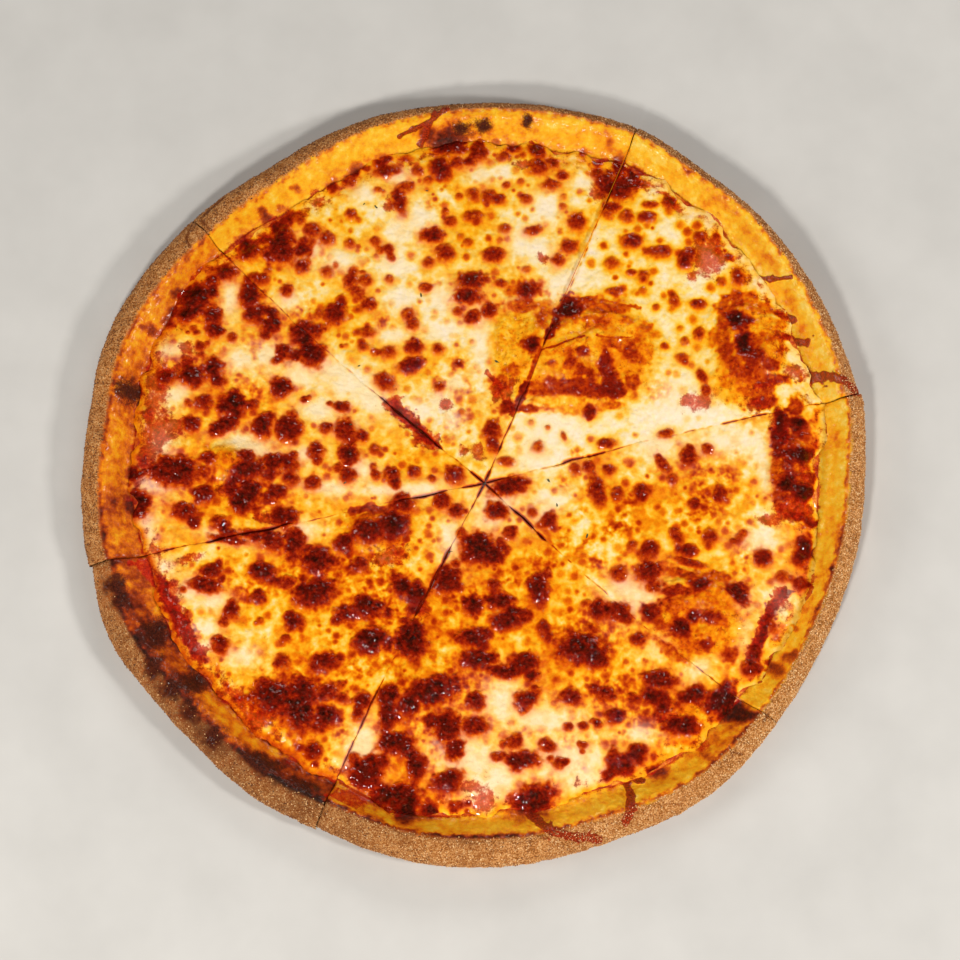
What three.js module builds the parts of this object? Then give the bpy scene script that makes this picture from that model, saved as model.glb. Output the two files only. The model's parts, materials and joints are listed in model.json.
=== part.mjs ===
// A round cheese pizza, cut into six slices that still lie together.
//
// Millimetres, +Z up. The underside lies on z = 0 and the origin is under the middle of the pizza.
// Each slice is three closed bodies: a crust with its raised rim, a thin layer of sauce, and the
// melted cheese on top. The three layers share the same plan, so they show at every cut.

import * as THREE from 'three';

// ---------------------------------------------------------------- driving sizes

const crustFloor = 4.0;          // baked dough under the topping
const sauceThickness = 0.9;
const sauceEdgeThickness = 0.4;  // where the sauce thins out against the rim
const cheeseThickness = 2.6;
const cheeseEdgeThickness = 1.0;
const cheeseOnBubbles = 1.6;     // on top of a bubble in the dough
const layerGap = 0.15;           // between one layer and the next
const cutWidth = 1.2;            // what the cutting wheel leaves open

const rimHeight = 14.5;
const rimEdgeHeight = 5.0;       // where the rim bulges out furthest
const rimUndercut = 4.0;         // how far the underside lies inside the outline
const rimInnerSlope = 13.0;      // plan width from the topping up to the crest
const rimOuterSlope = 8.5;       // plan width from the crest out to the edge
const rimOuterSway = 3.0;        // that width grows and shrinks by this round the pizza
const widestRimAngle = 215;      // degrees, where the outer slope is widest
const sauceShowing = 2.8;        // plan width of the sauce that shows outside the cheese

const hiddenSpacing = 13;        // size of the facets between the layers
const rimSpacing = 7.2;          // along the rim
const cheeseSpacing = 6.1;       // on the cheese that shows

// Nothing about a hand-made base is even. Each wave adds size * sin(count * angle + start) round
// the pizza to the value it is named for.
const waves = {
  outerSlope: [{ size: 0.6, count: 5, start: 1.1 }],
  innerSlope: [{ size: 1.5, count: 4, start: 0.4 }, { size: 1.2, count: 9, start: 2.0 }],
  crestHeight: [{ size: 0.9, count: 3, start: 0.7 }, { size: 0.6, count: 8, start: 2.6 }],
  sauceShow: [{ size: 1.0, count: 6, start: 0.9 }, { size: 0.7, count: 13, start: 3.1 }],
};

// Where the cuts cross, beside the middle.
const crossing = [4.8, -3.5];
const rimRadius = 175;           // about how far the rim is from the crossing

// Every cut runs out from the crossing: its direction there and at the rim, in degrees.
const cuts = {
  right: { inner: 14.8, outer: 13.4 },
  top: { inner: 66.6, outer: 66.9 },
  upperLeft: { inner: 140.5, outer: 137.8 },
  left: { inner: 192.2, outer: 192.0 },
  lowerLeft: { inner: 242.5, outer: 244.2 },
  lowerRight: { inner: 316.6, outer: 320.3 },
};

// The slices anticlockwise. Radii are from the crossing to the outline, evenly spread from one
// cut to the next, because a hand-stretched base is never quite round.
const slices = [
  { name: 'upper_right', from: 'right', to: 'top', radii: [177.3, 178.1, 179.0, 180.4, 180.6, 184.0] },
  { name: 'top', from: 'top', to: 'upperLeft', radii: [183.6, 182.2, 181.4, 182.0, 180.5, 184.2] },
  { name: 'left', from: 'upperLeft', to: 'left', radii: [184.6, 186.8, 188.0, 185.0, 185.0, 184.8] },
  { name: 'lower_left', from: 'left', to: 'lowerLeft', radii: [183.2, 185.0, 180.0, 177.2, 177.0, 174.8] },
  { name: 'bottom', from: 'lowerLeft', to: 'lowerRight', radii: [173.6, 174.9, 174.1, 172.4, 174.6, 171.9] },
  { name: 'right', from: 'lowerRight', to: 'right', radii: [171.7, 170.6, 171.4, 173.4, 175.0, 178.8] },
];

// Bubbles that lift the dough itself: middle, half length, half width, turn in degrees, height.
const doughBubbles = [
  { at: [45.5, 58.8], halfLength: 39, halfWidth: 28, turn: -8, height: 7.0 }, // split by the top cut
  { at: [127.5, 57.8], halfLength: 27, halfWidth: 24, turn: 65, height: 6.5 }, // against the rim
  { at: [146.5, -2.2], halfLength: 25, halfWidth: 18, turn: 90, height: 5.0 },
  { at: [104.5, -61.2], halfLength: 27, halfWidth: 23, turn: 15, height: 5.5 },
  { at: [-26.5, -98.2], halfLength: 24, halfWidth: 21, turn: 20, height: 3.5 },
];

const highestBubble = Math.max(...doughBubbles.map((bubble) => bubble.height));

// Domes in the cheese alone, blown up by steam.
const cheeseDomes = [
  { at: [-111.5, 6.8], halfLength: 17, halfWidth: 12, turn: 20, height: 3.2 },
  { at: [-45.5, -25.2], halfLength: 18, halfWidth: 13, turn: -15, height: 3.4 },
  { at: [-81.5, 51.8], halfLength: 12, halfWidth: 10, turn: 60, height: 2.0 },
  { at: [-0.5, 86.8], halfLength: 15, halfWidth: 12, turn: 10, height: 2.2 },
  { at: [51.5, -82.2], halfLength: 15, halfWidth: 12, turn: 30, height: 2.4 },
  { at: [-95.5, -105.2], halfLength: 14, halfWidth: 12, turn: 0, height: 2.2 },
];

// Low browned blisters scattered over each slice.
const blistersPerSlice = 16;
const blisterSeed = 41;
const smallestBlister = 7;       // half length
const largestBlister = 11;
const degree = Math.PI / 180;

// ---------------------------------------------------------------- finishes

const finishes = {
  crust: { color: 0xd89a52, roughness: 0.75, metalness: 0.0 },
  sauce: { color: 0x9c1a08, roughness: 0.4, metalness: 0.0 },
  cheese: { color: 0xf2c667, roughness: 0.35, metalness: 0.0 },
};

function finish(name) {
  return new THREE.MeshStandardMaterial(finishes[name]);
}

// ---------------------------------------------------------------- plan of a slice

const { lerp, smoothstep } = THREE.MathUtils;

// A smooth curve through evenly spread values.
function curveThrough(values, t) {
  const scaled = Math.min(t, 1) * (values.length - 1);
  const i = Math.min(Math.floor(scaled), values.length - 2);
  const f = scaled - i;
  const before = values[Math.max(i - 1, 0)];
  const after = values[Math.min(i + 2, values.length - 1)];
  const a = values[i];
  const b = values[i + 1];
  const pullA = (b - before) / 2;
  const pullB = (after - a) / 2;
  const f2 = f * f;
  const f3 = f2 * f;
  return (2 * f3 - 3 * f2 + 1) * a + (f3 - 2 * f2 + f) * pullA
    + (3 * f2 - 2 * f3) * b + (f3 - f2) * pullB;
}

// Direction of a cut at a distance from the crossing, in radians. A full turn is added where a
// slice runs past zero degrees.
function cutDirection(cut, radius, turns = 0) {
  const share = Math.min(radius / rimRadius, 1);
  return (lerp(cut.inner, cut.outer, share * share) + 360 * turns) * degree;
}

// Directions of a slice's two edges at a radius, each half a cut's width inside the cut.
function sliceEdges(slice, radius) {
  const from = cuts[slice.from];
  const to = cuts[slice.to];
  const inset = Math.asin(Math.min(cutWidth / 2 / radius, 1));
  const turns = to.outer < from.outer ? 1 : 0;
  return [cutDirection(from, radius) + inset, cutDirection(to, radius, turns) - inset];
}

// Distance from the crossing to the slice's pointed tip.
function tipRadius(slice) {
  const open = cutDirection(cuts[slice.to], 0, cuts[slice.to].outer < cuts[slice.from].outer ? 1 : 0)
    - cutDirection(cuts[slice.from], 0);
  return cutWidth / 2 / Math.sin(open / 2);
}

// Bearing of a share across the slice, used by everything that changes round the pizza.
function bearing(slice, across) {
  const [start, end] = sliceEdges(slice, rimRadius);
  return lerp(start, end, across);
}

function outline(slice, across) {
  return curveThrough(slice.radii, across);
}

function wavesAt(angle, list) {
  return list.reduce((sum, { size, count, start }) => sum + size * Math.sin(count * angle + start), 0);
}

function outerSlope(angle) {
  const sway = rimOuterSway * Math.cos(angle - widestRimAngle * degree);
  return rimOuterSlope + sway + wavesAt(angle, waves.outerSlope);
}

function innerSlope(angle) {
  return rimInnerSlope + wavesAt(angle, waves.innerSlope);
}

function crestHeight(angle) {
  return rimHeight + wavesAt(angle, waves.crestHeight);
}

function sauceShow(angle) {
  return sauceShowing + wavesAt(angle, waves.sauceShow);
}

function sauceEdge(slice, across) {
  const angle = bearing(slice, across);
  return outline(slice, across) - outerSlope(angle) - innerSlope(angle);
}

function cheeseEdge(slice, across) {
  return sauceEdge(slice, across) - sauceShow(bearing(slice, across));
}

// Plan position of a share across the slice at a radius from the crossing.
function planPoint(slice, across, radius) {
  const [start, end] = sliceEdges(slice, radius);
  const angle = lerp(start, end, across);
  return [crossing[0] + radius * Math.cos(angle), crossing[1] + radius * Math.sin(angle)];
}

// ---------------------------------------------------------------- relief

// Height of a rounded bump over a point: full in the middle, running out softly at its outline.
function bump({ at, halfLength, halfWidth, turn, height }, x, y) {
  const c = Math.cos(turn * degree);
  const s = Math.sin(turn * degree);
  const dx = x - at[0];
  const dy = y - at[1];
  const reach = Math.hypot((c * dx + s * dy) / halfLength, (c * dy - s * dx) / halfWidth);
  return reach >= 1 ? 0 : height * (0.5 + 0.5 * Math.cos(Math.PI * reach));
}

function lift(bumps, x, y) {
  return bumps.reduce((sum, one) => sum + bump(one, x, y), 0);
}

// Top of the baked dough under the topping.
function doughTop(x, y) {
  return crustFloor + lift(doughBubbles, x, y);
}

function seededDraw(seed) {
  let state = seed;
  return () => {
    state = (state * 1103515245 + 12345) % 2147483648;
    return state / 2147483648;
  };
}

// Low blisters spread over a slice, never on a spot that lies outside the cheese.
function scatterBlisters(slice, index) {
  const draw = seededDraw(blisterSeed + index * 97);
  return Array.from({ length: blistersPerSlice }, () => {
    const across = 0.08 + 0.84 * draw();
    const radius = cheeseEdge(slice, across) * (0.15 + 0.8 * Math.sqrt(draw()));
    const size = lerp(smallestBlister, largestBlister, draw());
    return {
      at: planPoint(slice, across, radius),
      halfLength: size,
      halfWidth: size * (0.75 + 0.25 * draw()),
      turn: 180 * draw(),
      height: 0.5 + 0.5 * draw(),
    };
  });
}

// Slow swell of the melted surface.
function swell(x, y) {
  return 0.25 * Math.sin(x / 11 + 1.3) * Math.sin(y / 13 + 0.4)
    + 0.18 * Math.sin((x + y) / 7.5 + 2.1);
}

// ---------------------------------------------------------------- closed bodies from rows

// Rows of points run across the slice from one cut to the other, and rows are sewn to each other
// with triangles, so a wide row may hold more points than a narrow one.
class Body {
  constructor() {
    this.points = [];
    this.faces = [];
  }

  point(x, y, z) {
    this.points.push(x, y, z);
    return this.points.length / 3 - 1;
  }

  row(slice, count, radiusAt, heightAt) {
    return Array.from({ length: count + 1 }, (_, i) => {
      const across = i / count;
      const radius = radiusAt(across);
      const [x, y] = planPoint(slice, across, radius);
      return this.point(x, y, heightAt(x, y, across));
    });
  }

  tip(slice, height) {
    const [x, y] = planPoint(slice, 0.5, tipRadius(slice));
    return [this.point(x, y, height(x, y))];
  }

  face(a, b, c, flip) {
    this.faces.push(...(flip ? [a, c, b] : [a, b, c]));
  }

  // Sews row a to row b. Seen from above, with b further out, the faces look up unless flipped.
  sew(a, b, flip = false) {
    let i = 0;
    let j = 0;
    while (i < a.length - 1 || j < b.length - 1) {
      const nextA = a.length > 1 ? (i + 1) / (a.length - 1) : 2;
      const nextB = b.length > 1 ? (j + 1) / (b.length - 1) : 2;
      if (j < b.length - 1 && nextB <= nextA + 1e-9) {
        this.face(a[i], b[j], b[j + 1], flip);
        j += 1;
      } else {
        this.face(a[i], b[j], a[i + 1], flip);
        i += 1;
      }
    }
  }

  sewAll(rows, flip = false) {
    for (let k = 0; k < rows.length - 1; k += 1) {
      this.sew(rows[k], rows[k + 1], flip);
    }
  }

  geometry() {
    const geometry = new THREE.BufferGeometry();
    geometry.setAttribute('position', new THREE.Float32BufferAttribute(this.points, 3));
    geometry.setIndex(this.faces);
    geometry.computeVertexNormals();
    return geometry;
  }
}

// Points of all rows along one cut: the first or the last point of each.
function alongCut(rows, last) {
  return rows.map((row) => (last ? row[row.length - 1] : row[0]));
}

// Steps that a slice's rows take from its tip to an edge.
function rowShares(slice, spacing) {
  const steps = Math.round(cheeseEdge(slice, 0.5) / spacing);
  return Array.from({ length: steps }, (_, k) => (k + 1) / steps);
}

function rowCount(slice, share, spacing) {
  const radius = share * cheeseEdge(slice, 0.5);
  const [start, end] = sliceEdges(slice, radius);
  return Math.max(1, Math.round((radius * (end - start)) / spacing));
}

// Rows over the topped part of a slice, from its tip to the edge of the cheese.
function toppedRows(body, slice, spacing, height) {
  const rows = [body.tip(slice, (x, y) => height(x, y, 0))];
  for (const share of rowShares(slice, spacing)) {
    const radiusAt = (across) => share * cheeseEdge(slice, across);
    const heightAt = (x, y) => height(x, y, share);
    rows.push(body.row(slice, rowCount(slice, share, spacing), radiusAt, heightAt));
  }
  return rows;
}

// ---------------------------------------------------------------- crust

// The rim's section, from the foot at the sauce, over the crest, to the edge of the underside.
// Each step gives a plan distance in from the outline and a height.
function rimSection(angle) {
  const outer = outerSlope(angle);
  const inner = innerSlope(angle);
  const crest = crestHeight(angle);
  const inside = [0.25, 0.5, 0.75, 1.0].map((s) => ({
    inFromEdge: outer + inner * (1 - s),
    height: lerp(crustFloor, crest, smoothstep(s, 0, 1)),
  }));
  const outside = [0.4, 0.7, 0.9, 1.0].map((s) => ({
    inFromEdge: outer * (1 - s),
    height: lerp(rimEdgeHeight, crest, Math.sqrt(1 - s * s)),
  }));
  const under = [
    { inFromEdge: 0.3 * rimUndercut, height: 0.35 * rimEdgeHeight },
    { inFromEdge: rimUndercut, height: 0 },
  ];
  return [...inside, ...outside, ...under];
}

function crustBody(slice) {
  const body = new Body();
  const floorRows = toppedRows(body, slice, hiddenSpacing, doughTop);
  const footCount = floorRows.at(-1).length - 1;
  const foot = body.row(slice, footCount, (across) => sauceEdge(slice, across), doughTop);
  floorRows.push(foot);

  // Bubbles near the rim run on up its inner slope.
  const rimCount = Math.round((slice.radii[2] * (bearing(slice, 1) - bearing(slice, 0))) / rimSpacing);
  const steps = rimSection(0).length;
  const rimRows = Array.from({ length: steps }, (_, k) => body.row(
    slice,
    rimCount,
    (across) => outline(slice, across) - rimSection(bearing(slice, across))[k].inFromEdge,
    (x, y, across) => {
      const { height } = rimSection(bearing(slice, across))[k];
      const isInner = k < 4;
      return height + (isInner ? lift(doughBubbles, x, y) * (1 - (k + 1) / 5) : 0);
    },
  ));
  body.sewAll([...floorRows, ...rimRows]);

  // Underside: flat, in strips that follow the rows above, so that the cut sides stand upright.
  const underRows = [body.tip(slice, () => 0)];
  for (const share of rowShares(slice, hiddenSpacing)) {
    underRows.push(body.row(slice, 1, (across) => share * cheeseEdge(slice, across), () => 0));
  }
  underRows.push(body.row(slice, 1, (across) => sauceEdge(slice, across), () => 0));
  const underEdge = rimRows.at(-1);
  body.sewAll([...underRows, underEdge], true);

  // Cut sides: a strip below the topping, then a fan over the rim's section.
  for (const last of [false, true]) {
    const upper = alongCut(floorRows, last);
    const lower = alongCut(underRows, last);
    body.sew(lower, upper, !last);
    const corner = last ? underEdge[underEdge.length - 1] : underEdge[0];
    const arch = [lower.at(-1), upper.at(-1), ...alongCut(rimRows, last).slice(0, -1)];
    for (let k = 0; k < arch.length - 1; k += 1) {
      body.face(corner, arch[k], arch[k + 1], !last);
    }
  }
  return body.geometry();
}

// ---------------------------------------------------------------- sauce

function sauceBody(slice) {
  const body = new Body();
  const bottom = (x, y) => doughTop(x, y) + layerGap;
  const top = (x, y) => bottom(x, y) + sauceThickness;
  const brim = (x, y) => bottom(x, y) + sauceEdgeThickness;
  const atEdge = (across) => sauceEdge(slice, across);

  const upper = toppedRows(body, slice, hiddenSpacing, top);
  const lower = toppedRows(body, slice, hiddenSpacing, bottom);
  const count = upper.at(-1).length - 1;
  upper.push(body.row(slice, count, atEdge, brim));
  lower.push(body.row(slice, count, atEdge, bottom));

  closeLayer(body, upper, lower);
  return body.geometry();
}

// Closes a layer between its upper and lower rows: two faces, an outer wall and two cut sides.
function closeLayer(body, upper, lower) {
  body.sewAll(upper);
  body.sewAll(lower, true);
  body.sew(upper.at(-1), lower.at(-1));
  body.sew(alongCut(lower, false), alongCut(upper, false), true);
  body.sew(alongCut(lower, true), alongCut(upper, true));
}

// ---------------------------------------------------------------- cheese

function cheeseBody(slice, index) {
  const body = new Body();
  const blisters = scatterBlisters(slice, index);
  const bottom = (x, y) => doughTop(x, y) + sauceThickness + 2 * layerGap;

  // The cheese slides off the bubbles while it melts, so it is thinner on top of them.
  const top = (x, y, share) => {
    const onBubble = Math.min(lift(doughBubbles, x, y) / highestBubble, 1);
    const melted = lerp(cheeseThickness, cheeseOnBubbles, onBubble);
    const thick = lerp(melted, cheeseEdgeThickness, smoothstep(share, 0.94, 1));
    return bottom(x, y) + thick + lift(cheeseDomes, x, y) + lift(blisters, x, y) + swell(x, y);
  };

  const upper = toppedRows(body, slice, cheeseSpacing, top);
  const lower = toppedRows(body, slice, hiddenSpacing, bottom);
  closeLayer(body, upper, lower);
  return body.geometry();
}

// ---------------------------------------------------------------- the pizza

const group = new THREE.Group();
slices.forEach((slice, index) => {
  const layers = {
    crust: crustBody(slice),
    sauce: sauceBody(slice),
    cheese: cheeseBody(slice, index),
  };
  for (const [layer, geometry] of Object.entries(layers)) {
    const mesh = new THREE.Mesh(geometry, finish(layer));
    mesh.name = `${layer}_${slice.name}`;
    group.add(mesh);
  }
});

// The origin goes under the middle of the pizza's own box.
const box = new THREE.Box3().setFromObject(group, true);
const middle = box.getCenter(new THREE.Vector3());
for (const mesh of group.children) {
  mesh.geometry.translate(-middle.x, -middle.y, 0);
}

export default group;
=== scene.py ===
# %% [markdown]
# # A cheese pizza, from bare solids to something good to eat
#
# The solids give a pizza in six slices, each made of a crust, a layer of sauce and a layer of
# cheese. Here every one of them is modelled again at full detail and gets its finish. The first
# cell loads the solids, which fix the size and the place of everything that follows.

# %% Load the solids
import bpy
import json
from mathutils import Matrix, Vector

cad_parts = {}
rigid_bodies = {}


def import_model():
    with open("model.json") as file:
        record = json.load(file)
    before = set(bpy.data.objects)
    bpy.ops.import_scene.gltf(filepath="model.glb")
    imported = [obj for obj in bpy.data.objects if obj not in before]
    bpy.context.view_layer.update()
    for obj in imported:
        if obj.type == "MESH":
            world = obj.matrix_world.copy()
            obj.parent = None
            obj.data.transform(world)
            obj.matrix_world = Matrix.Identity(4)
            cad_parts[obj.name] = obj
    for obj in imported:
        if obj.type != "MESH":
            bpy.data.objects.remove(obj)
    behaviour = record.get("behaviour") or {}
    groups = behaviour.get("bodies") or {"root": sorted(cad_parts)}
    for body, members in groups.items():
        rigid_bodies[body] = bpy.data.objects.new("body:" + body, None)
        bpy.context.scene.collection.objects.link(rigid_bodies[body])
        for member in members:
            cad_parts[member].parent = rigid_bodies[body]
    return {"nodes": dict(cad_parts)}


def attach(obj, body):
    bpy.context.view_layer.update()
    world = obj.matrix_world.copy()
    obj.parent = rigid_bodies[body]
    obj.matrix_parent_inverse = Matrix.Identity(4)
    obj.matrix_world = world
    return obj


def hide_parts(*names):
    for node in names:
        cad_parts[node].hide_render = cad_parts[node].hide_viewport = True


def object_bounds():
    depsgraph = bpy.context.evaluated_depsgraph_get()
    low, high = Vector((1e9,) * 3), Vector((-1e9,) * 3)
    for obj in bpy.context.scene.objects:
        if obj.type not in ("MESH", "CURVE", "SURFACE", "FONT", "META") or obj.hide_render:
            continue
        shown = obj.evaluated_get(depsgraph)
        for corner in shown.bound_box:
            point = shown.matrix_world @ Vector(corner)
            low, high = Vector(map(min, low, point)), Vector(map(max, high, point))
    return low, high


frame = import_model()
solid_box = [list(corner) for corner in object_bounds()]

import contextlib
import json
import math

import bpy
import numpy as np
from mathutils import Vector

print("solids:", len(frame["nodes"]), "box:", solid_box)

# %% [markdown]
# ## Sizes
#
# A recipe is written in millimetres, while Blender works in metres. All sizes below are
# millimetres, the same ones that the solids were made from, and MM turns them to metres when a
# mesh gets its final shape.

# %% Driving sizes
MM = 0.001
TAU = 2 * math.pi

CRUST_FLOOR = 4.0
SAUCE_THICKNESS = 0.9
SAUCE_EDGE_THICKNESS = 0.4
LAYER_GAP = 0.15
CHEESE_THICKNESS = 2.6
CHEESE_EDGE_THICKNESS = 1.0
CHEESE_ON_BUBBLES = 1.6
CUT_WIDTH = 1.2

RIM_HEIGHT = 14.5
RIM_EDGE_HEIGHT = 5.0
RIM_UNDERCUT = 4.0
RIM_INNER_SLOPE = 13.0
RIM_OUTER_SLOPE = 8.5
RIM_OUTER_SWAY = 3.0
WIDEST_RIM_ANGLE = math.radians(215)
SAUCE_SHOWING = 2.8
# The rim's skin from the foot of its inner slope over the crest and under: its length and the
# shares of it where the inner slope, the outer slope and the undercut end.
STRIP_LENGTH = 42.0
CREST_AT, EDGE_AT, UNDER_AT = 0.46, 0.76, 0.92
print("dough, sauce and cheese:", CRUST_FLOOR + SAUCE_THICKNESS + CHEESE_THICKNESS, "mm")

# %% [markdown]
# Six cuts start at one crossing, a little off the middle. A slice lies between two of them, and
# its radii say how far the hand-stretched rim reaches from the crossing.

# %% Cuts and slices
CROSSING = (4.84, -3.53)
RIM_RADIUS = 175
CUT_WAVER = 0.5

# Every cut: its direction at the crossing and at the rim, in degrees.
CUTS = {
    "right": (14.8, 13.4),
    "top": (66.6, 66.9),
    "upper_left": (140.5, 137.8),
    "left": (192.2, 192.0),
    "lower_left": (242.5, 244.2),
    "lower_right": (316.6, 320.3),
}

# The slices anticlockwise, each with the cut where it starts, the cut where it ends and its
# radii from the crossing, evenly spread between the two cuts.
SLICES = {
    "upper_right": ("right", "top", (177.3, 178.1, 179.0, 180.4, 180.6, 184.0)),
    "top": ("top", "upper_left", (183.6, 182.2, 181.4, 182.0, 180.5, 184.2)),
    "left": ("upper_left", "left", (184.6, 186.8, 188.0, 185.0, 185.0, 184.8)),
    "lower_left": ("left", "lower_left", (183.2, 185.0, 180.0, 177.2, 177.0, 174.8)),
    "bottom": ("lower_left", "lower_right", (173.6, 174.9, 174.1, 172.4, 174.6, 171.9)),
    "right": ("lower_right", "right", (171.7, 170.6, 171.4, 173.4, 175.0, 178.8)),
}

print("slices:", len(SLICES))

# %% [markdown]
# Steam lifted the dough in five places, and the cheese alone in six more. Each of them is a
# rounded bump, which five values are enough to describe.

# %% Bubbles and domes
# Bubbles in the dough: middle, half length, half width, turn in degrees, height.
DOUGH_BUBBLES = [
    ((45.5, 58.8), 39, 28, -8, 7.0),
    ((127.5, 57.8), 27, 24, 65, 6.5),
    ((146.5, -2.2), 25, 18, 90, 5.0),
    ((104.5, -61.2), 27, 23, 15, 5.5),
    ((-26.5, -98.2), 24, 21, 20, 3.5),
]
HIGHEST_BUBBLE = max(bubble[-1] for bubble in DOUGH_BUBBLES)

# Domes in the cheese alone.
CHEESE_DOMES = [
    ((-111.5, 6.8), 17, 12, 20, 3.2),
    ((-45.5, -25.2), 18, 13, -15, 3.4),
    ((-81.5, 51.8), 12, 10, 60, 2.0),
    ((-0.5, 86.8), 15, 12, 10, 2.2),
    ((51.5, -82.2), 15, 12, 30, 2.4),
    ((-95.5, -105.2), 14, 12, 0, 2.2),
]
print("bubbles:", len(DOUGH_BUBBLES), "domes:", len(CHEESE_DOMES))

# %% [markdown]
# ## Unevenness
#
# Nothing baked is smooth. This noise gives every point a value between about -1 and 1 that
# changes softly over a chosen number of millimetres. It is worked out from whole numbers, so it
# is the same at each run, and neighbouring slices agree where they meet. The number after the
# size is its seed: another seed gives another pattern.

# %% Noise
def lerp(a, b, t):
    return a + (b - a) * t


def smooth(x, low, high):
    t = np.clip((x - low) / (high - low), 0, 1)
    return t * t * (3 - 2 * t)


def ripple(x, y, size, seed=0):
    """Soft noise with waves of about `size` millimetres."""
    u, v = x / size + 17.3 * seed, y / size - 9.1 * seed
    i, j = np.floor(u).astype(np.int64), np.floor(v).astype(np.int64)
    f, g = u - i, v - j

    def corner(di, dj):
        h = ((i + di) * 374761393 + (j + dj) * 668265263 + seed * 974634777) & 0xFFFFFFFF
        h = ((h ^ (h >> 13)) * 1274126177) & 0xFFFFFFFF
        angle = ((h ^ (h >> 16)) & 0xFFFF) * (TAU / 0x10000)
        return np.cos(angle) * (f - di) + np.sin(angle) * (g - dj)

    ease_f = f**3 * (f * (f * 6 - 15) + 10)
    ease_g = g**3 * (g * (g * 6 - 15) + 10)
    low = lerp(corner(0, 0), corner(1, 0), ease_f)
    high = lerp(corner(0, 1), corner(1, 1), ease_f)
    return lerp(low, high, ease_g) * 1.6


def rough(x, y, size, seed=0, layers=3):
    """Noise with finer noise on top, each layer half the size and a bit over half as strong."""
    total, strength = 0.0, 1.0
    for layer in range(layers):
        total = total + strength * ripple(x, y, size / 2**layer, seed + 31 * layer)
        strength *= 0.55
    return total / 1.5


sample = ripple(*np.meshgrid(np.arange(60.0), np.arange(60.0)), 7.0)
print("noise from", sample.min().round(2), "to", sample.max().round(2))

# %% [markdown]
# ## The plan of a slice
#
# A slice is easiest to think of as a fan. Two numbers place any point on it: how far it is from
# the crossing of the cuts, and its share of the way across from one cut to the next. These
# helpers work on whole arrays at once, which is what keeps a mesh of a hundred thousand points
# quick to shape.

# %% Plan helpers
def curve_through(values, t):
    """A smooth curve through evenly spread values."""
    v = np.array(values, float)
    scaled = np.clip(t, 0, 1) * (len(v) - 1)
    i = np.minimum(scaled.astype(int), len(v) - 2)
    f = scaled - i
    a, b = v[i], v[i + 1]
    before, after = v[np.maximum(i - 1, 0)], v[np.minimum(i + 2, len(v) - 1)]
    pull_a, pull_b = (b - before) / 2, (after - a) / 2
    return (
        (2 * f**3 - 3 * f**2 + 1) * a
        + (f**3 - 2 * f**2 + f) * pull_a
        + (3 * f**2 - 2 * f**3) * b
        + (f**3 - f**2) * pull_b
    )


def cut_direction(cut, radius, turns=0):
    """Direction of a cut at a distance from the crossing: it bends a little and wavers."""
    share = np.minimum(radius / RIM_RADIUS, 1)
    inner, outer = CUTS[cut]
    waver = ripple(radius, radius * 0 + outer, 15.0, 3) + 0.4 * ripple(radius, radius * 0, 4.5, 4)
    waver = CUT_WAVER * waver * smooth(radius, 3, 25)
    bent = np.radians(lerp(inner, outer, share**2) + 360 * turns)
    return bent + waver / np.maximum(radius, 1)


def slice_edges(name, radius, half_gaps):
    """Directions of a slice's two edges, each half a gap inside its cut."""
    start, end, _ = SLICES[name]
    turns = 1 if CUTS[end][1] < CUTS[start][1] else 0
    insets = [np.arcsin(np.minimum(gap / radius, 1)) for gap in half_gaps]
    return cut_direction(start, radius) + insets[0], cut_direction(end, radius, turns) - insets[1]


def tip_radius(name, half_gap):
    """Distance from the crossing at which the tip of a slice is half a gap from both cuts."""
    start, end, _ = SLICES[name]
    turns = 1 if CUTS[end][1] < CUTS[start][1] else 0
    opening = cut_direction(end, 0, turns) - cut_direction(start, 0)
    return half_gap / np.sin(opening / 2)


def bearing(name, across):
    """Direction, at the rim, of a share of the way across."""
    start, end = slice_edges(name, RIM_RADIUS, (CUT_WIDTH / 2, CUT_WIDTH / 2))
    return lerp(start, end, across)


def plan_point(name, across, radius, half_gaps=(CUT_WIDTH / 2, CUT_WIDTH / 2)):
    start, end = slice_edges(name, radius, half_gaps)
    angle = lerp(start, end, across)
    return CROSSING[0] + radius * np.cos(angle), CROSSING[1] + radius * np.sin(angle)


print("a slice opens", round(math.degrees(bearing("top", 1) - bearing("top", 0)), 1), "degrees")

# %% [markdown]
# ## The rim's section
#
# From the foot of the rim to its crest the dough rises softly, then it rounds over to the widest
# point and turns under. Slow waves round the pizza keep it uneven, as a hand-stretched base is.

# %% Rim helpers
def outline(name, across):
    return curve_through(SLICES[name][2], across)


def outer_slope(angle):
    sway = RIM_OUTER_SWAY * np.cos(angle - WIDEST_RIM_ANGLE)
    return RIM_OUTER_SLOPE + sway + 0.6 * np.sin(5 * angle + 1.1)


def inner_slope(angle):
    return RIM_INNER_SLOPE + 1.5 * np.sin(4 * angle + 0.4) + 1.2 * np.sin(9 * angle + 2.0)


def crest_height(angle):
    return RIM_HEIGHT + 0.9 * np.sin(3 * angle + 0.7) + 0.6 * np.sin(8 * angle + 2.6)


def sauce_edge(name, across):
    angle = bearing(name, across)
    return outline(name, across) - outer_slope(angle) - inner_slope(angle)


def cheese_edge(name, across):
    angle = bearing(name, across)
    show = SAUCE_SHOWING + 1.0 * np.sin(6 * angle + 0.9) + 0.7 * np.sin(13 * angle + 3.1)
    return sauce_edge(name, across) - show


def oval_reach(x, y, at, half_length, half_width, turn):
    """How far out points lie in a turned oval: 0 in its middle, 1 on its outline."""
    c, s = math.cos(math.radians(turn)), math.sin(math.radians(turn))
    dx, dy = x - at[0], y - at[1]
    return np.hypot((c * dx + s * dy) / half_length, (c * dy - s * dx) / half_width)


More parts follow.
